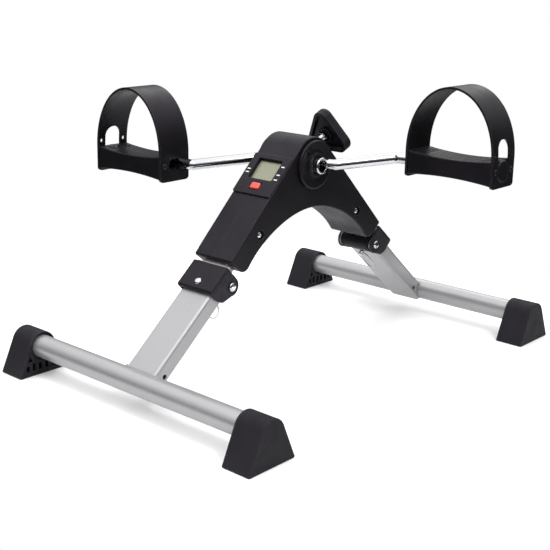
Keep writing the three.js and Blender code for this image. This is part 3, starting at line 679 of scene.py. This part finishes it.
# ---------------------------------------- fasteners
def socket_head(base, radius, height, socket, shank, shank_end):
    """A button head with a hexagon socket on a shank."""
    crown = [(base, radius), (base + height * 0.35, radius)]
    for i in range(1, 6):
        angle = math.radians(15 * i)
        crown.append((base + height * (0.35 + 0.65 * math.sin(angle)), radius * math.cos(angle * 0.85)))
    top = base + height
    profile = [(shank_end, 0), (shank_end, shank), (base, shank), *crown, (top, 0)]
    bolt = turned(profile, segments=40)
    return cut(bolt, loft(hexagon(socket), [(base + height * 0.4, 0), (top + 1, 0)]))


def dome_nut(radius, low, high):
    """A hexagon nut with a rounded crown."""
    nut = loft(hexagon(radius), rim(low, high, 0.2, 0.5, 3))
    waist = radius * 0.98
    trim = turned([(low - 1, 0), (low - 1, waist + 1), (high - 1, waist + 1), (high, waist - 0.6),
                   (high + 0.2, waist - 1.4), (high + 0.2, 0)], segments=40)
    return common(nut, trim)


for end, side in (("near", -1), ("far", 1)):
    spot = shift(0, side * SHELL_BOLT[0], SHELL_BOLT[1])
    bolt = socket_head(base=23.3, radius=3.8, height=2.3, socket=1.6, shank=2, shank_end=-25.2)
    place(bolt, f"{end}_body_bolt", spot, "frame", "chrome", f"{end}_shell_bolt")
    nut = cut(dome_nut(3.9, 23.2, 25.9), rod(2.3, 20, 24.9))
    place(nut, f"{end}_body_nut", spot @ MIRROR, "frame", "chrome")


# ---------------------------------------- hub covers
def hub_cover():
    """A shallow dish round the crank, with a raised boss and one square notch."""
    profile = fillet([
        (27.3, 10), (27.3, 26.2, 0.5), (29.2, 27, 0.8), (31.0, 26.6, 1.0), (31.6, 24.8, 1.6),
        (30.2, 17.0, 3.0), (30.3, 13.6, 0.5), (33.0, 13.2, 0.6), (33.2, 10, 0.4),
    ])
    dish = turned(profile, "X", 96)
    notch = moved(block((29.0, 40), (-3.5, 3.5), (15.0, 22)), turn(48, "X"))
    groove = turned([(32.7, 11.4), (34, 11.4), (34, 12.0), (32.7, 12.0)])
    return cut(dish, notch, groove)


for name, where in HUB_ENDS.items():
    place(hub_cover(), f"{name}_cover", where, "frame", "body_plastic", f"{name}_hub_cover")

# ---------------------------------------- crank
ROD_RADIUS = 6
BEND_RADIUS = 13
SPLAY = (58, 78)                # the arm's corners, across the machine
ROD_END = 205                   # inside the pedal


def bent_line(corners, radius, steps=12):
    """Corner points of a rod in space with a bend at each."""
    points = [corners[0]]
    for before, here, after in zip(corners, corners[1:], corners[2:]):
        back, ahead = (before - here).normalized(), (after - here).normalized()
        half = back.angle(ahead) / 2
        centre = here + (back + ahead).normalized() * (radius / math.sin(half))
        start = here + back * (radius / math.tan(half)) - centre
        end = here + ahead * (radius / math.tan(half)) - centre
        for index in range(steps + 1):
            points.append(centre + start.slerp(end, index / steps))
    return points + [corners[-1]]


def crank_rod():
    """One rod: level at both spindles and at the hub, with a sloping arm between."""
    throw = RIGHT_SPINDLE - CRANK
    throw.x = 0
    corners = []
    for side in (-1, 1):
        arm = [Vector((side * SPLAY[0], 0, 0)), throw * side + Vector((side * SPLAY[1], 0, 0)),
               throw * side + Vector((side * ROD_END, 0, 0))]
        corners += arm if side > 0 else arm[::-1]
    return tube(bent_line(corners, BEND_RADIUS), ROD_RADIUS, 40)


def crank_collar():
    """A round lock nut with a grub screw hole."""
    profile = fillet([(33.6, 6.3), (33.6, 9.2, 0.5), (40.4, 9.2, 1.6), (40.4, 6.3, 0.3)])
    nut = turned(profile, "X", 72)
    grub = moved(rod(1.6, 5, 12, "Z", 20), shift(37, 0, 0))
    return cut(nut, grub)


place(crank_rod(), "bent_crank", AT_CRANK, "crank", "chrome", "crank_rod")
for name, where in HUB_ENDS.items():
    place(crank_collar(), f"{name}_collar", where, "crank", "chrome", f"{name}_crank_collar")

# ---------------------------------------- tension knob
KNOB_BASE = 56                  # from the crank axis
KNOB_THICK = 12.8
THREAD_PITCH = 1.25
KNOB_REACH = 39.5               # to each sharp corner of its triangle
KNOB_CORNER = 10                # radius that rounds the corner


def knob():
    """A rounded triangle: a boss in a hollow underside, two grooves round its rim, a crowned top."""
    corners = [(p.x, p.y, KNOB_CORNER) for p in arc((0, 0), (KNOB_REACH, KNOB_REACH), 90, 330, 2)]
    low, high = KNOB_BASE, KNOB_BASE + KNOB_THICK
    wall = rim(low, high - 0.8, 0.8, 1.8, 6)
    middle = []
    for height in (3.2, 6.2):
        middle += [(low + height - 0.4, 0), (low + height - 0.2, 0.5),
                   (low + height + 0.2, 0.5), (low + height + 0.4, 0)]
    crown = [(high - 0.5, 4.0), (high - 0.2, 6.5), (high, 9)]
    outline = fillet(corners, step=4)
    plate = loft(outline, wall[:7] + middle + wall[7:] + crown)
    cut(plate, loft(outline, [(low - 1, 3.6), (low + 0.5, 3.6), (low + 3.2, 5.5)]))
    weld(plate, turned([(low + 0.5, 0), (low + 0.5, 8.2), (low + 1.2, 9), (low + 8, 9), (low + 8, 0)]))
    return cut(plate, rod(4.3, low - 1, low + 7.5))


def tension_screw():
    """The screw with its jam nut; the thread shows between the nut and the body."""
    path = [(12.4, 0), (12.4, 3.6)]
    height = 13.4
    while height < KNOB_BASE + 6:
        path += [(height, 3.55), (height + THREAD_PITCH * 0.5, 4.0)]
        height += THREAD_PITCH
    path += [(KNOB_BASE + 7, 3.6), (KNOB_BASE + 7, 0)]
    thread = turned(path, "X", 32)
    nut = dome_nut(6.8, KNOB_BASE - 4.6, KNOB_BASE + 0.1)
    return weld(thread, nut)


place(knob(), "rounded_knob", AT_SCREW, "tension_knob", "body_plastic", "tension_knob")
place(tension_screw(), "threaded_screw", AT_SCREW, "tension_knob", "chrome", "tension_screw")


# ---------------------------------------- console
def console_cap():
    """The face plate with a bevelled window and a well for the button, on a hollow tray."""
    plate = loft(oblong(*CAP_HALF, 2.2, (0, -CAP_DROP)), rim(0.3, 2.3, 0.2, 0.9, 4), "Z")
    weld(plate, block((-22, 22), (-22, 22), (-10, 1)))
    window = loft(oblong(SCREEN_HALF + 0.9, SCREEN_HALF_Y + 0.9, 2, (0, SCREEN_MIDDLE)),
                  [(-12, 0.9), (1.2, 0.9), (2.4, 0.0), (3, 0.0)], "Z")
    well = loft(oblong(7.2, 5.2, 1.4, (0, BUTTON_Y)), [(-12, 0.7), (1.4, 0.7), (2.4, 0), (3, 0)], "Z")
    room = block((-20.3, 20.3), (-20.3, 20.3), (-12, -1))
    return cut(plate, room, window, well)


def screen_pane():
    """The glass, a little smaller than its window and below it."""
    outline = oblong(SCREEN_HALF - 0.3, SCREEN_HALF_Y - 0.3, 0.5, (0, SCREEN_MIDDLE))
    return loft(outline, rim(-3.2, -1.9, 0, 0.2, 3), "Z")


def button_cap():
    """A pillow-shaped key."""
    wall = rim(0, BUTTON_TOP - 0.2, 0, 1.0, 5) + [(BUTTON_TOP, 1.7)]
    return loft(oblong(6.1, 4.1, 1.9, (0, BUTTON_Y)), wall, "Z")


def label_marks():
    """Plain dashes where the display's rows are named."""
    spots = [(-21.6, 3.4), (-21.6, -1.0), (21.6, 11.8), (21.6, 1.2), (21.6, -5.2)]
    return joined([loft(oblong(2.2, 0.7, 0.3, spot), [(2.25, 0), (2.36, 0)], "Z") for spot in spots])


place(console_cap(), "console_cap", AT_CONSOLE, "frame", "body_plastic", "console_housing")
place(screen_pane(), "display_pane", AT_CONSOLE, "frame", "screen", "console_screen")
place(button_cap(), "button_cap", AT_CONSOLE, "reset_button", "red_plastic", "reset_button")
place(label_marks(), "label_marks", AT_CONSOLE, "frame", "nylon")

# ---------------------------------------- pedals
PEDAL_HALF = 53.8               # half the length over the strap
PEDAL_HALF_WIDTH = 21.7
STRAP_THICK = 2.5
STRAP_SPRING = 12               # height where the strap's arch starts
STRAP_RISE = 71
STRAP_FOOT = -18
PLATFORM_HALF = PEDAL_HALF - STRAP_THICK - 0.3
STRAP_SCREW_Y = 15.5


def top_height(x):
    """The top dips in the middle of the pedal's length."""
    return 7.5 + 3.5 * (x / PLATFORM_HALF) ** 2


def bottom_height(x):
    """The underside is highest there."""
    return -12.2 - 3 * (x / PLATFORM_HALF) ** 2


def top_band(x0, x1, depth, steps):
    """A band that follows the hollow top, to cut a groove of that depth."""
    places = [x0 + (x1 - x0) * i / steps for i in range(steps + 1)]
    floor = [Vector((x, top_height(x) - depth)) for x in places]
    return floor + [Vector((x1, 20)), Vector((x0, 20))]


def tread_grooves():
    """Long grooves in the middle of the top, and a grid of short ones at each end."""
    tools = []
    for y in (-15.5, -9.3, -3.1, 3.1, 9.3, 15.5):
        tools.append(loft(top_band(-29, 29, 0.9, 16), [(y - 0.7, 0), (y + 0.7, 0)], "Y"))
    for x in (33, 38, 43):
        for end in (-1, 1):
            band = top_band(min(end * x, end * (x + 1.6)), max(end * x, end * (x + 1.6)), 1.0, 2)
            tools.append(loft(band, [(-17.5, 0), (17.5, 0)], "Y"))
    for y in (-12.4, -6.2, 0, 6.2, 12.4):
        for end in (-1, 1):
            ends = sorted((end * 33, end * 44.6))
            tools.append(loft(top_band(*ends, 1.0, 4), [(y - 0.7, 0), (y + 0.7, 0)], "Y"))
    return tools


def platform():
    """A slab with pockets below, bored for the crank, its bushes and the strap's screws."""
    places = [PLATFORM_HALF * (i / 12 - 1) for i in range(25)]
    outline = [Vector((x, bottom_height(x))) for x in places]
    outline += [Vector((x, top_height(x))) for x in reversed(places)]
    half_width = PEDAL_HALF_WIDTH - 0.7
    slab = loft(outline, rim(-half_width, half_width, 1.2, 1.2, 4), "Y")
    tools = tread_grooves()
    for end, facing in ((-1, HALF_TURN), (1, Matrix())):
        for side in (-1, 1):
            x, y = sorted((end * 4, end * 34)), sorted((side * 10.5, side * 18.5))
            tools.append(block(x, y, (-20, 3)))
            spot = facing @ shift(0, side * STRAP_SCREW_Y, 0)
            tools.append(moved(rod(1.8, 42, 60, segments=20), spot))
    tools += [rod(10.5, 42.3, 60), rod(6.6, -60, 60), rod(8.5, -60, -37.7), rod(8.5, 28.7, 60)]
    return cut(slab, *tools)


def strap():
    """A moulded band over the foot, open at the outer side, with its ends below the platform."""
    outer = arc((0, STRAP_SPRING), (PEDAL_HALF, STRAP_RISE), 0, 180, 72)
    inner_half = PEDAL_HALF - STRAP_THICK
    inner = arc((0, STRAP_SPRING), (inner_half, STRAP_RISE - STRAP_THICK), 180, 0, 72)
    outline = [Vector((PEDAL_HALF, STRAP_FOOT))] + outer + [
        Vector((-PEDAL_HALF, STRAP_FOOT)), Vector((-inner_half, STRAP_FOOT))]
    outline += inner + [Vector((inner_half, STRAP_FOOT))]
    band = loft(outline, [(-PEDAL_HALF_WIDTH, 0), (PEDAL_HALF_WIDTH, 0)], "Y")
    trim = fillet([
        (-PEDAL_HALF_WIDTH - 1, STRAP_FOOT, 6), (PEDAL_HALF_WIDTH + 1, STRAP_FOOT, 6),
        (PEDAL_HALF_WIDTH + 1, 110), (-PEDAL_HALF_WIDTH - 1, 110)], step=15)
    common(band, loft(trim, [(-80, 0), (80, 0)]))
    window = fillet([(-11.2, -12.5, 9), (11.2, -12.5, 9), (11.2, 32.5, 10.5), (-11.2, 32.5, 10.5)])
    tools = [loft(window, [(40, 0), (60, 0)]), rod(8.6, -60, -40)]
    for side in (-1, 1):
        tools.append(moved(rod(1.9, -60, 60, segments=20), shift(0, side * STRAP_SCREW_Y, 0)))
        tools.append(moved(rod(2.2, 40, 60, segments=24), shift(0, side * 16.4, 17)))
    cut(band, *tools)
    return soften(band, 0.7, 3)


def spindle_cap():
    """An oval plate with a pillow face, on a round plug."""
    oval = oblong(10.8, 11.3, 9, (0, -0.7))
    wall = rim(PEDAL_HALF - STRAP_THICK + 0.1, PEDAL_HALF + 1.0, 0.2, 1.4, 5) + [
        (PEDAL_HALF + 1.3, 3.4), (PEDAL_HALF + 1.4, 6.0)]
    return weld(loft(oval, wall), rod(9.9, 48, PEDAL_HALF))


def strap_screws():
    """Four pan-head screws that hold the strap to the platform."""
    screws = []
    for end in (0, 180):
        for side in (-1, 1):
            screw = socket_head(
                base=PEDAL_HALF + 0.05, radius=3.2, height=1.3, socket=1.3, shank=1.5, shank_end=44)
            screws.append(moved(screw, turn(end, "Z") @ shift(0, side * STRAP_SCREW_Y, 0)))
    return joined(screws)


for name, where in PEDALS.items():
    body = f"{name}_pedal"
    place(platform(), f"{name}_footplate", where, body, "pedal_plastic", f"{name}_pedal_platform")
    place(strap(), f"{name}_strap", where, body, "pedal_plastic", f"{name}_pedal_strap")
    place(spindle_cap(), f"{name}_end_cap", where, body, "pedal_plastic", f"{name}_spindle_cap")
    place(strap_screws(), f"{name}_strap_screws", where, body, "pedal_plastic")

# ---------------------------------------- legs
LEG_HALF_WIDTH = 21.2
LEG_BACK, LEG_FRONT = -3.7, 15
LOCK_DISTANCE = 15              # lock pin to hinge, along the leg
BAR_RADIUS = 12.5
BARREL_RADIUS = 10
BOLT_BORE = 3.4
FOOT_LENGTH = 33.7
FOOT_BASE = 66
FOOT_TOP = 16.5
FOOT_CORNER = 1.8               # radius of its lower corners
POCKETS = ((4.2, -17.5), (12.4, -16.5), (20.2, -18.5))      # middle and top of each
POCKET_FLOOR = -25.5


def bar_place(end):
    """The middle of a floor bar, level, turned as its leg is."""
    where = Matrix.Translation(box_centre(f"{end}_floor_bar"))
    return where if end == "near" else where @ HALF_TURN


def bar_in_hinge():
    """Where the bar crosses the leg, in the hinge's frame."""
    return (HINGES["near"].inverted() @ bar_place("near")).translation


BAR = bar_in_hinge()
BAR_HEIGHT = box_centre("near_floor_bar").z


def leg_tube():
    """A rectangular tube coped over the bar and the barrel, with a hole for the pin and one near the bar."""
    middle = (LEG_BACK + LEG_FRONT) / 2
    half = (LEG_FRONT - LEG_BACK) / 2
    outer = oblong(LEG_HALF_WIDTH, half, 3.2, (0, middle))
    inner = oblong(LEG_HALF_WIDTH - 1.5, half - 1.5, 1.8, (0, middle))
    length = (BAR.y - 2, -2)
    skin = loft(outer, [(length[0], 0), (length[1], 0)], "Y")
    tools = [
        loft(inner, [(length[0] - 5, 0), (length[1] + 5, 0)], "Y"),
        moved(rod(BAR_RADIUS + 0.3, -40, 40, segments=72), shift(0, BAR.y, BAR.z)),
        rod(BARREL_RADIUS + 0.3, -40, 40, segments=64),
        moved(rod(3.4, -40, 40, "Z"), shift(0, -LOCK_DISTANCE, 0)),
        moved(rod(2.6, -30, 30), shift(0, BAR.y + 19, middle - 2.4)),
    ]
    return soften(cut(skin, *tools), 0.25, 2)


def weld_bead():
    """A rippled bead over the front and both sides of the leg where it meets the bar."""
    reach = math.sqrt(BAR_RADIUS**2 - (LEG_FRONT - BAR.z) ** 2)
    side_angles = [math.radians(a) for a in range(0, 14, 2)]
    edge = LEG_HALF_WIDTH + 0.3
    rise = [Vector((-edge, BAR.y + BAR_RADIUS * math.cos(a) + 0.3, BAR.z + BAR_RADIUS * math.sin(a)))
            for a in side_angles]
    front_y, front_z = BAR.y + reach + 0.3, LEG_FRONT + 0.2
    last = int(LEG_HALF_WIDTH) - 1
    across = [Vector((x, front_y, front_z)) for x in range(-last, last + 1)]
    fall = [Vector((edge, p.y, p.z)) for p in reversed(rise)]
    return tube(rise + across + fall, 1.5, 12, wobble=lambda i: 1 + 0.16 * math.sin(i * 2.1))


def foot():
    """A rubber shoe on the bar's end: round over the bar, wide at the floor."""
    half = FOOT_BASE / 2 + 0.55 * FOOT_CORNER
    reach = math.hypot(half, BAR_HEIGHT)
    start = math.degrees(math.acos(FOOT_TOP / reach) - math.atan2(BAR_HEIGHT, half))
    top = arc((0, 0), (FOOT_TOP, FOOT_TOP), start, 180 - start, 32)
    base = fillet([
        (0, 0), (-half, -BAR_HEIGHT, FOOT_CORNER), (half, -BAR_HEIGHT, FOOT_CORNER), (0, 0)], closed=False)
    shoe = loft(top + base[1:-1], rim(0, FOOT_LENGTH, 0.7, 1.2, 4))
    tools = [rod(BAR_RADIUS + 0.3, -5, FOOT_LENGTH - 4, segments=64)]
    tools.append(turned([(-1, 0), (-1, 15.3), (0.4, 14.9), (2.2, 14.6), (2.2, 0)]))
    for side in (-1, 1):
        for middle, ceiling in POCKETS:
            half_height = (ceiling - POCKET_FLOOR) / 2
            hollow = oblong(2.3, half_height, 0.6, (side * middle, POCKET_FLOOR + half_height))
            tools.append(loft(hollow, [(-1, 0), (10, 0)]))
        gusset = fillet([(side * 13.8, -14.6, 0.5), (side * 20.6, -14.6, 0.5), (side * 17.2, -7.5, 0.5)])
        tools.append(loft(gusset, [(-1, 0), (8, 0)]))
    for x in range(4, 32, 4):
        tools.append(block((x, x + 1.6), (-half + 5, half - 5), (-BAR_HEIGHT - 1, -BAR_HEIGHT + 1.2)))
    return cut(shoe, *tools)


def hinge_barrel():
    """The black tube the leg turns on, flanged and grooved at its ends."""
    profile = fillet([
        (-19.9, BOLT_BORE), (-19.9, 10, 0.4), (-18.1, 10, 0.2), (-17.8, 9.3), (-16.9, 9.3), (-16.6, 10, 0.2),
        (16.6, 10, 0.2), (16.9, 9.3), (17.8, 9.3), (18.1, 10, 0.2), (19.9, 10, 0.4), (19.9, BOLT_BORE)])
    return turned(profile, "X", 64)


def split_ring(radius, wire):
    """Two turns of flat-lying wire, with the ends side by side."""
    steps = 120
    path = []
    for index in range(steps + 1):
        angle = 4 * math.pi * index / steps
        lift = wire * (index / steps * 2 - 1) * 0.98
        path.append(Vector((radius * math.cos(angle), lift, radius * math.sin(angle))))
    return tube(path, wire, 10)


def lock_pin(eye_yaw, eye):
    """A collared pin with an eye for its ring."""
    profile = fillet([
        (-11.6, 0), (-11.6, 2.0, 0.6), (-10.6, 3, 0.6), (11.9, 3), (11.9, 4.4, 0.4), (13.1, 4.4, 0.4),
        (13.1, 3), (16, 3, 0.8), (17.2, 2, 0.6), (17.2, 0)], closed=False)
    pin = turned(profile, "Z", 40)
    hole = moved(rod(1.8, -10, 10, segments=24), shift(0, 0, eye) @ turn(eye_yaw, "Z"))
    return cut(pin, hole)


RING_RADIUS = 11
PIN_EYE = (HINGES["near"].inverted() @ RING_HOLE).z
RING_YAW = {"near": 0, "far": -48}      # degrees about the pin
RING_DROP = {"near": 49, "far": 22}     # degrees that the ring hangs down

for end, hinge in HINGES.items():
    leg = f"{end}_leg"
    place(leg_tube(), f"{end}_tube", hinge, leg, "silver_paint", f"{end}_leg_tube")
    place(weld_bead(), f"{end}_weld", hinge, leg, "silver_paint")
    place(hinge_barrel(), f"{end}_barrel", hinge, leg, "body_plastic", f"{end}_hinge_barrel")
    low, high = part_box(f"{end}_floor_bar")
    half_bar = (high.x - low.x) / (2 * MM)
    bar = turned([(-half_bar, 11), (-half_bar, BAR_RADIUS), (half_bar, BAR_RADIUS), (half_bar, 11)], "X", 72)
    place(bar, f"{end}_bar", bar_place(end), leg, "silver_paint", f"{end}_floor_bar")
    for name in ("right", "left"):
        node = f"{end}_{name}_foot"
        low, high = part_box(node)
        middle = (low + high) / (2 * MM)
        outward = 1 if middle.x > 0 else -1
        where = shift(middle.x - outward * FOOT_LENGTH / 2, middle.y, BAR_HEIGHT)
        shoe = where @ (Matrix() if outward > 0 else HALF_TURN)
        place(foot(), f"{end}_{name}_shoe", shoe, leg, "foot_rubber", node)
    at_pin = hinge @ shift(0, -LOCK_DISTANCE, 0)
    place(lock_pin(RING_YAW[end], PIN_EYE), f"{end}_pin", at_pin, f"{end}_lock_pin", "chrome",
          f"{end}_lock_pin")
    hanging = at_pin @ shift(0, 0, PIN_EYE) @ turn(RING_YAW[end], "Z") @ turn(RING_DROP[end], "X")
    flat = hanging @ shift(0, -RING_RADIUS, 0) @ turn(90, "X")
    place(split_ring(RING_RADIUS, 0.45), f"{end}_ring", flat, f"{end}_pull_ring", "chrome",
          f"{end}_pull_ring")

# ---------------------------------------- hinges
COVER_HALF = 24.8
EAR_RADIUS = 10.8


def cover_outline():
    """The hinge cover from the side: a flat front, a square lower end and a round ear."""
    ear = arc((0, 0), (EAR_RADIUS, EAR_RADIUS), -128, 8, 30)
    front = fillet([ear[-1], (9.6, 21.4, 2.0), (-24.8, 21.4, 3.0), (-23.4, 4.2, 2.0),
                    (-19.5, -3.2, 5.0), ear[0]], closed=False)
    return ear + front[1:-1]


def hinge_cover():
    """A cap over the leg's end, with a step and a well round each end of the bolt."""
    skin = loft(cover_outline(), rim(-COVER_HALF, COVER_HALF, 1.6, 1.6, 5))
    inner = LEG_HALF_WIDTH + 2.1
    room = block((-inner, inner), (-40, 30), (-40, 17.6))
    well = [(24.3, 0), (24.3, 5.6), (30, 5.6), (30, 0)]
    tools = [room, rod(BOLT_BORE, -40, 40), turned(well), moved(turned(well), HALF_TURN),
             moved(turned([(15, 0), (15, 3.1), (20.9, 3.1), (20.9, 4.7), (30, 4.7), (30, 0)], "Z"),
                   shift(0, -LOCK_DISTANCE, 0))]
    ring_step = [(24.4, 7.2), (26, 7.2), (26, 7.8), (24.4, 7.8)]
    tools += [turned(ring_step), moved(turned(ring_step), HALF_TURN)]
    return cut(skin, *tools)


def cover_rivet():
    profile = fillet([(17.6, 0), (17.6, 2.7), (21.2, 2.7), (21.2, 4.3, 0.3), (22.2, 4.0, 1.0),
                      (23.2, 2.6, 1.6), (23.4, 0)], closed=False)
    return turned(profile, "Z", 40)


for end, hinge in HINGES.items():
    facing = hinge if end == "near" else hinge @ HALF_TURN
    place(hinge_cover(), f"{end}_cover", hinge, "frame", "body_plastic", f"{end}_hinge_cover")
    place(moved(cover_rivet(), shift(0, -LOCK_DISTANCE, 0)), f"{end}_rivet", hinge, "frame", "chrome",
          f"{end}_cover_rivet")
    bolt = socket_head(base=24.9, radius=4.8, height=2.5, socket=1.9, shank=3, shank_end=-27.9)
    place(bolt, f"{end}_bolt", facing, "frame", "chrome", f"{end}_hinge_bolt")
    nut = cut(dome_nut(5.4, 25.0, 27.2), rod(3.2, 20, 30))
    place(nut, f"{end}_nut", facing @ MIRROR, "frame", "zinc", f"{end}_hinge_nut")

# ---------------------------------------- finishes of the CAD nodes that stay
KEPT = {
    "silver_paint": ["near_frame_arm", "far_frame_arm"],
    "zinc": ["hub_tube", "brake_drum", "console_battery", "left_spindle_washer",
             "right_spindle_washer", "near_lock_spring", "far_lock_spring"],
    "nylon": ["left_hub_bush", "right_hub_bush", "speed_sensor"],
    "pedal_plastic": ["left_pedal_inner_bush", "left_pedal_outer_bush", "right_pedal_inner_bush",
                      "right_pedal_outer_bush"],
    "felt": ["brake_pad"],
    "board": ["console_board"],
}
for slot, nodes in KEPT.items():
    for node in nodes:
        kept = frame["nodes"][node]
        kept.data.materials.clear()
        kept.data.materials.append(SLOTS[slot])

# ---------------------------------------- floor, light and camera
FLOOR_RADIUS = 0.5              # small, so that the plating reflects the dark room beyond it


def floor():
    """A plain pale disc under the machine."""
    finish = Finish("pale_floor", roughness=0.6)
    finish.colour(finish.blend(finish.noise(0.4), (0.86, 0.86, 0.87), (0.9, 0.9, 0.9)))
    edge = arc((0, 0), (FLOOR_RADIUS, FLOOR_RADIUS), 0, 354, 59)
    sheet = new_piece([(point.x, point.y, 0) for point in edge], [list(range(len(edge)))])
    sheet.name = "floor"
    if sheet.data.polygons[0].normal.z < 0:
        sheet.data.flip_normals()
    sheet.data.materials.append(finish.material)


CEILING = 1.9                   # radiance overhead
CAMERA_ANGLES = (41.95, 15.27, 0.93)     # azimuth, elevation and roll in degrees
CAMERA_TARGET = Vector((-11.5, -39.65, 120)) * MM
CAMERA_DISTANCE = 1.211


def softbox(name, position, size, power):
    """A square area light that faces the machine; metres and watts."""
    lamp = bpy.data.lights.new(name, "AREA")
    lamp.size = size
    lamp.energy = power
    light = bpy.data.objects.new(name, lamp)
    light.location = position
    aim = Vector((0, 0, 0.15)) - light.location
    light.rotation_euler = aim.to_track_quat("-Z", "Y").to_euler()
    bpy.context.scene.collection.objects.link(light)


def studio_world():
    """Plain white behind the machine, and a bright ceiling over a dim horizon to light it."""
    world = bpy.data.worlds.new("studio")
    world.use_nodes = True
    nodes, links = world.node_tree.nodes, world.node_tree.links
    direction = nodes.new("ShaderNodeTexCoord").outputs["Generated"]
    height = nodes.new("ShaderNodeSeparateXYZ")
    links.new(direction, height.inputs["Vector"])
    ramp = nodes.new("ShaderNodeValToRGB")
    links.new(height.outputs["Z"], ramp.inputs["Fac"])
    stops = ramp.color_ramp.elements
    for position, level in ((0.0, 0.03), (0.2, 0.08), (0.45, 0.5), (0.68, 1.0)):
        stop = stops.new(position)
        stop.color = (level, level, level, 1)
    stops.remove(stops[0])
    stops.remove(stops[-1])
    room = nodes["Background"]
    links.new(ramp.outputs["Color"], room.inputs["Color"])
    room.inputs["Strength"].default_value = CEILING
    white = nodes.new("ShaderNodeBackground")
    white.inputs["Color"].default_value = (1, 1, 1, 1)
    choice = nodes.new("ShaderNodeMixShader")
    links.new(nodes.new("ShaderNodeLightPath").outputs["Is Camera Ray"], choice.inputs[0])
    links.new(room.outputs[0], choice.inputs[1])
    links.new(white.outputs[0], choice.inputs[2])
    links.new(choice.outputs[0], nodes["World Output"].inputs["Surface"])
    bpy.context.scene.world = world


def camera():
    """A long lens from the near right, a little above the machine."""
    azimuth, elevation, roll = (math.radians(a) for a in CAMERA_ANGLES)
    back = Vector((math.sin(azimuth) * math.cos(elevation), -math.cos(azimuth) * math.cos(elevation),
                   math.sin(elevation)))
    right = Vector((math.cos(azimuth), math.sin(azimuth), 0))
    up = back.cross(right)
    tilted_right = right * math.cos(roll) + up * math.sin(roll)
    tilted_up = up * math.cos(roll) - right * math.sin(roll)
    lens = bpy.data.cameras.new("camera")
    lens.sensor_width = 36
    lens.lens = 71.25
    lens.shift_x, lens.shift_y = 0.0248, -0.0321
    lens.clip_end = 100
    view = bpy.data.objects.new("camera", lens)
    axes = Matrix((tilted_right, tilted_up, back)).transposed().to_4x4()
    view.matrix_world = Matrix.Translation(CAMERA_TARGET + back * CAMERA_DISTANCE) @ axes
    bpy.context.scene.collection.objects.link(view)
    bpy.context.scene.camera = view


floor()
studio_world()
softbox("key", (-0.2, -1.1, 2.2), 1.6, 12)
softbox("gleam", (1.35, -0.3, 1.75), 0.45, 14)
softbox("rim", (-0.8, 1.8, 1.6), 1.4, 8)
camera()
bpy.context.scene.view_settings.view_transform = "Standard"
